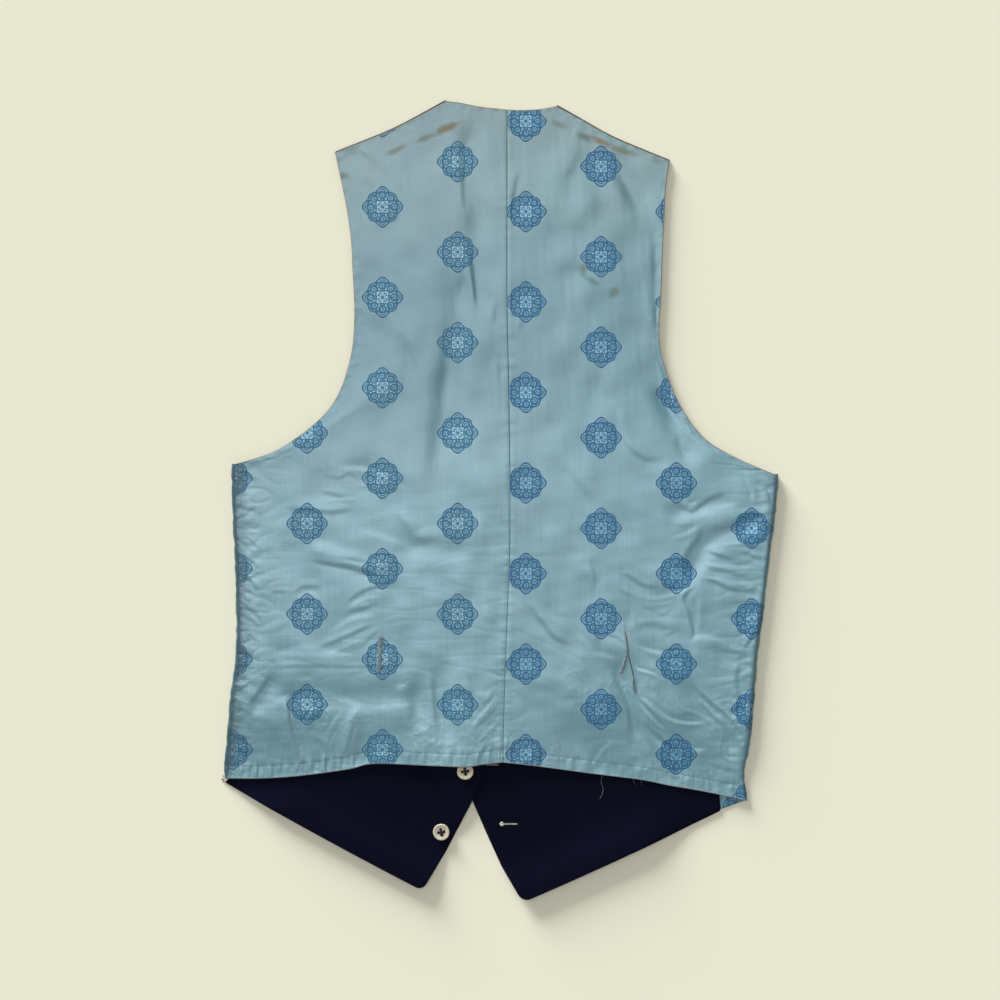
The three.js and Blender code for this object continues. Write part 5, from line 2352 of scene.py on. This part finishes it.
@dataclass
class Sewing:
    """Stitches, strap stubs and loose threads on the silk.

    Attributes:
        seat: Reads the height of the silk.
    """

    seat: Seat

    def _stitch(self, a: Array, b: Array, radius: float, height: float = 0.1) -> Run:
        """One stitch that lies on the silk from one place to another.

        Args:
            a: Its start, x and y.
            b: Its end, x and y.
            radius: The thread's radius.
            height: How far its middle stands up.

        Returns:
            Its run.
        """
        start = np.array([a[0], a[1], self.seat.at(a[0], a[1]) - radius * 0.3])
        end = np.array([b[0], b[1], self.seat.at(b[0], b[1]) - radius * 0.3])
        return arc_run(start, end, height, 4), radius

    def hem(self, half: Half, rise: float = 11.0, pitch: float = 2.5) -> list[Run]:
        """Row of stitches that holds the hem up.

        Args:
            half: Which half of the back.
            rise: How far above the hem.
            pitch: Distance from stitch to stitch.

        Returns:
            Their runs.
        """
        path = Path2D(HEM[half], True)
        count = int(path.length / pitch)
        share = np.linspace(0.012, 0.985, count + 1)
        points = path.at(share)
        way = np.gradient(points, axis=0)
        way /= np.linalg.norm(way, axis=1, keepdims=True)
        up = np.stack([-way[:, 1], way[:, 0]], axis=1) * np.sign(way[:, :1])
        line = points + up * rise
        runs = []
        for i in range(count):
            a = line[i] + (line[i + 1] - line[i]) * 0.18
            b = line[i] + (line[i + 1] - line[i]) * 0.82
            runs.append(self._stitch(a, b, 0.16, 0.05))
        return runs

    def seam(self, pitch: float = 2.0) -> list[Run]:
        """Stitches that show in the centre seam.

        Args:
            pitch: Distance from stitch to stitch.

        Returns:
            Their runs.
        """
        runs = []
        for rows in (LOWER_SEAM, UPPER_SEAM):
            path = Path2D(rows, True)
            count = int(path.length / pitch)
            line = path.at(np.linspace(0, 1, count + 1))
            for i in range(count):
                a = line[i] + (line[i + 1] - line[i]) * 0.25
                b = line[i] + (line[i + 1] - line[i]) * 0.75
                runs.append(self._stitch(a + (0.1, 0), b + (0.1, 0), 0.15, 0.0))
        return runs

    def stub(
        self, points: Sequence[tuple[float, float]], widths: tuple[float, float], seed: int
    ) -> list[Run]:
        """Frayed remnant left where a strap was sewn on.

        Args:
            points: The line that it was sewn along, from its top.
            widths: Width at its top and at its end.
            seed: Which tangle.

        Returns:
            Their runs.
        """
        source = random.Random(seed)
        path = Path2D(points, True)
        runs = []
        count = int(path.length / 0.42)
        for i in range(count):
            share = i / count
            at = path.at(np.array([share]))[0]
            reach = (widths[0] + (widths[1] - widths[0]) * share) / 2 * source.uniform(0.75, 1.1)
            lean = source.uniform(-0.4, 0.4)
            middle = source.uniform(-0.25, 0.25)
            a = at + np.array([middle - reach, -lean])
            b = at + np.array([middle + reach, lean])
            runs.append(self._stitch(a, b, source.uniform(0.14, 0.24), source.uniform(0.15, 0.4)))
        for _ in range(6):
            share = source.uniform(0.0, 0.8)
            a = path.at(np.array([share]))[0]
            b = path.at(np.array([min(1.0, share + source.uniform(0.12, 0.25))]))[0]
            wobble = source.uniform(-0.9, 0.9)
            runs.append(self._stitch(a + (wobble, 0), b + (wobble * 0.5, 0), 0.2, 0.4))
        return runs

    def dots(self, points: Sequence[tuple[float, float]], pitch: float, radius: float) -> list[Run]:
        """Row of short dark stitches.

        Args:
            points: The line that they follow.
            pitch: Distance from one to the next.
            radius: The thread's radius.

        Returns:
            Their runs.
        """
        path = Path2D(points, True)
        line = path.at(np.linspace(0.0, 1.0, int(path.length / pitch) + 1))
        runs = []
        for a, b in zip(line[:-1], line[1:]):
            run, _ = self._stitch(a + (b - a) * 0.2, a + (b - a) * 0.65, radius, 0.1)
            run[:, 2] += 0.5
            runs.append((run, radius))
        return runs

    def loose(self, points: Sequence[tuple[float, float]], radius: float) -> Run:
        """One loose thread end.

        Args:
            points: Its course, x and y.
            radius: The thread's radius.

        Returns:
            Its run.
        """
        line = Path2D(points, True).at(np.linspace(0, 1, 14))
        heights = [self.seat.at(x, y) + radius * 0.9 for x, y in line]
        smooth = np.convolve(np.pad(heights, 2, mode="edge"), np.ones(5) / 5, mode="valid")
        return np.column_stack([line, np.maximum(smooth, radius)]), radius


SENSOR = 36.0


@dataclass
class Studio:
    """Floor, lights and camera.

    Attributes:
        width: Width that the camera sees, in metres.
        lens: Focal length in millimetres.
        level: Height at which it sees that width, in metres.
        floor: Half the width of the floor, in metres.
        fill: Strength of the light from all round.
    """

    width: float = 0.85
    lens: float = 100.0
    level: float = 0.008
    floor: float = 6.0
    fill: float = 0.34

    def build(self) -> None:
        """Places them."""
        self._camera()
        self._floor()
        self._sun("key", azimuth=121.0, elevation=8.5, width=28.0, strength=9.5, glossy=False)
        self._sun("sheen", azimuth=118.0, elevation=79.0, width=15.0, strength=0.74, glossy=True)
        world = bpy.data.worlds.new("studio")
        world.use_nodes = True
        world.node_tree.nodes["Background"].inputs[0].default_value = (1.0, 1.0, 1.0, 1.0)
        world.node_tree.nodes["Background"].inputs[1].default_value = self.fill
        bpy.context.scene.world = world
        bpy.context.scene.view_settings.view_transform = "Standard"

    def _camera(self) -> None:
        """Camera straight above."""
        data = bpy.data.cameras.new("view")
        data.lens = self.lens
        data.sensor_width = SENSOR
        data.dof.use_dof = False
        data.clip_end = 20.0
        camera = bpy.data.objects.new("view", data)
        camera.location = (0, 0, self.width * self.lens / SENSOR + self.level)
        bpy.context.scene.collection.objects.link(camera)
        bpy.context.scene.camera = camera

    def _floor(self) -> None:
        """Pale floor under the waistcoat."""
        size = self.floor
        mesh = bpy.data.meshes.new("floor")
        corners = [(-size, -size, 0), (size, -size, 0), (size, size, 0), (-size, size, 0)]
        mesh.from_pydata(corners, [], [(0, 1, 2, 3)])
        floor = bpy.data.objects.new("floor", mesh)
        bpy.context.scene.collection.objects.link(floor)
        floor.data.materials.append(FloorFinish().build("floor"))
        floor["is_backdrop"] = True

    @staticmethod
    def _sun(
        name: str, azimuth: float, elevation: float, width: float, strength: float, glossy: bool
    ) -> None:
        """One wide light from far away.

        Args:
            name: Its name.
            azimuth: Where it stands, in degrees round from +X.
            elevation: How high it stands, in degrees.
            width: How wide it looks, in degrees.
            strength: Its strength.
            glossy: Whether it glints.
        """
        data = bpy.data.lights.new(name, "SUN")
        data.angle = math.radians(width)
        data.energy = strength
        light = bpy.data.objects.new(name, data)
        around, up = math.radians(azimuth), math.radians(elevation)
        place = Vector((math.cos(around) * math.cos(up), math.sin(around) * math.cos(up), math.sin(up)))
        light.location = place * 3
        light.visible_glossy = glossy
        light.rotation_euler = (-place).to_track_quat("-Z", "Y").to_euler()
        bpy.context.scene.collection.objects.link(light)


def dress(piece: bpy.types.Object, material: bpy.types.Material, slot: str, *nodes: str) -> None:
    """Gives a piece its finish and its place in the frame.

    Args:
        piece: The piece.
        material: Its material.
        slot: The record's material slot; not used.
        *nodes: The solids that it stands for.
    """
    piece.data.materials.clear()
    piece.data.materials.append(material)
    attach(piece, "root")
    if nodes:
        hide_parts(*nodes)
    LOG.info("%s: %d faces", piece.name, len(piece.data.polygons))


# How far out from a button the cloth lifts it, and at how many places that is read
SEAT_REACH = 9.0
SEAT_READINGS = 28


def button_seat(x: float, y: float) -> float:
    """Height that a button's underside has in the solids.

    Args:
        x: The button's middle across.
        y: The button's middle up.

    Returns:
        The height in millimetres.
    """
    turns = np.linspace(0, 2 * math.pi, SEAT_READINGS, endpoint=False)
    reach = Button.radius + SEAT_REACH
    rise = overlap_rise(x + reach * np.cos(turns), y + reach * np.sin(turns))
    return FRONT_WALL + float(rise.max()) + SEAM_GAP


def main() -> None:
    """Builds the dressed waistcoat."""
    logging.basicConfig(level=logging.INFO, format="%(name)s %(message)s")
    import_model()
    cad_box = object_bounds()
    Studio().build()

    left_silk = SilkFinish(shift=(4.0, 20.0), ink="065674", glow="7ca5b7").build("silk_left")
    right_silk = SilkFinish(
        shift=(10.0, 24.0),
        ink="004f75",
        glow="68a3be",
        # Narrower, fainter painted shade on the right's folded side
        side_shade_reach=3.0,
        side_share=0.4,
        crinkle=0.5,
        crinkle_reach=24.0,
        hem_tint="b4b9b2",
    ).build("silk_right")
    wool = WoolFinish().build("wool")
    shell = ButtonFinish().build("button")
    navy = ThreadFinish("12142a", "060810").build("navy_thread")
    pale = ThreadFinish("d8d4c4", "a8a291").build("pale_thread")
    blue = ThreadFinish("486a76", "2d444e").build("blue_thread")
    tan = ThreadFinish("5c5a4c", "34342c").build("seam_thread")
    grey = ThreadFinish("8b9a9c", "6a7a7e").build("stub_thread")
    dark = ThreadFinish("4a5654", "2a3330").build("strap_thread")
    flesh = ThreadFinish("5f463c", "3c2a24").build("lining_thread")

    back_left = BackHalf(Half.LEFT).build()
    back_right = BackHalf(Half.RIGHT).build()
    dress(back_left, left_silk, "silk", "back_left")
    dress(back_right, right_silk, "silk", "back_right")
    front_left = FrontPiece(Half.LEFT).build()
    front_right = FrontPiece(Half.RIGHT).build()
    dress(front_left, wool, "wool", "front_left")
    dress(front_right, wool, "wool", "front_right")

    threads: list[Run] = []
    for number, (x, y, turn) in enumerate(BUTTONS, start=1):
        button = Button(x, y, turn, button_seat(x, y))
        dress(button.build(f"shell_{number}"), shell, "button", f"button_{number}")
        threads += button.threads()
    dress(thread_mesh("button_threads", threads), navy, "wool")

    stitched: list[Run] = []
    for x, y in BUTTONHOLES:
        stitched += Buttonhole(x, y).threads()
    dress(thread_mesh("buttonhole_stitches", stitched), pale, "button")

    sewing = Sewing(Seat([back_left, back_right]))
    dress(thread_mesh("hem_stitches", sewing.hem(Half.LEFT) + sewing.hem(Half.RIGHT)), blue, "silk")
    dress(thread_mesh("seam_stitches", sewing.seam()), tan, "silk")
    stubs = [run for row in STRAP_STUBS for run in sewing.stub(*row)]
    dress(thread_mesh("strap_stubs", stubs), grey, "silk")
    dark_runs = [run for row in STRAP_STITCHES for run in sewing.dots(*row)]
    dark_runs += [sewing.loose(*row) for row in STRAP_THREADS]
    dress(thread_mesh("strap_stitches", dark_runs), dark, "silk")
    ends = [sewing.loose(*row) for row in HEM_THREADS]
    dress(thread_mesh("loose_threads", ends), grey, "button")
    lining = [(np.array(points), radius) for points, radius in LINING_ENDS]
    dress(thread_mesh("lining_ends", lining), flesh, "silk")

    boxes = [cad_box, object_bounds()]
    [[[float(v) for v in corner] for corner in box] for box in boxes]


if __name__ == "__main__":
    main()
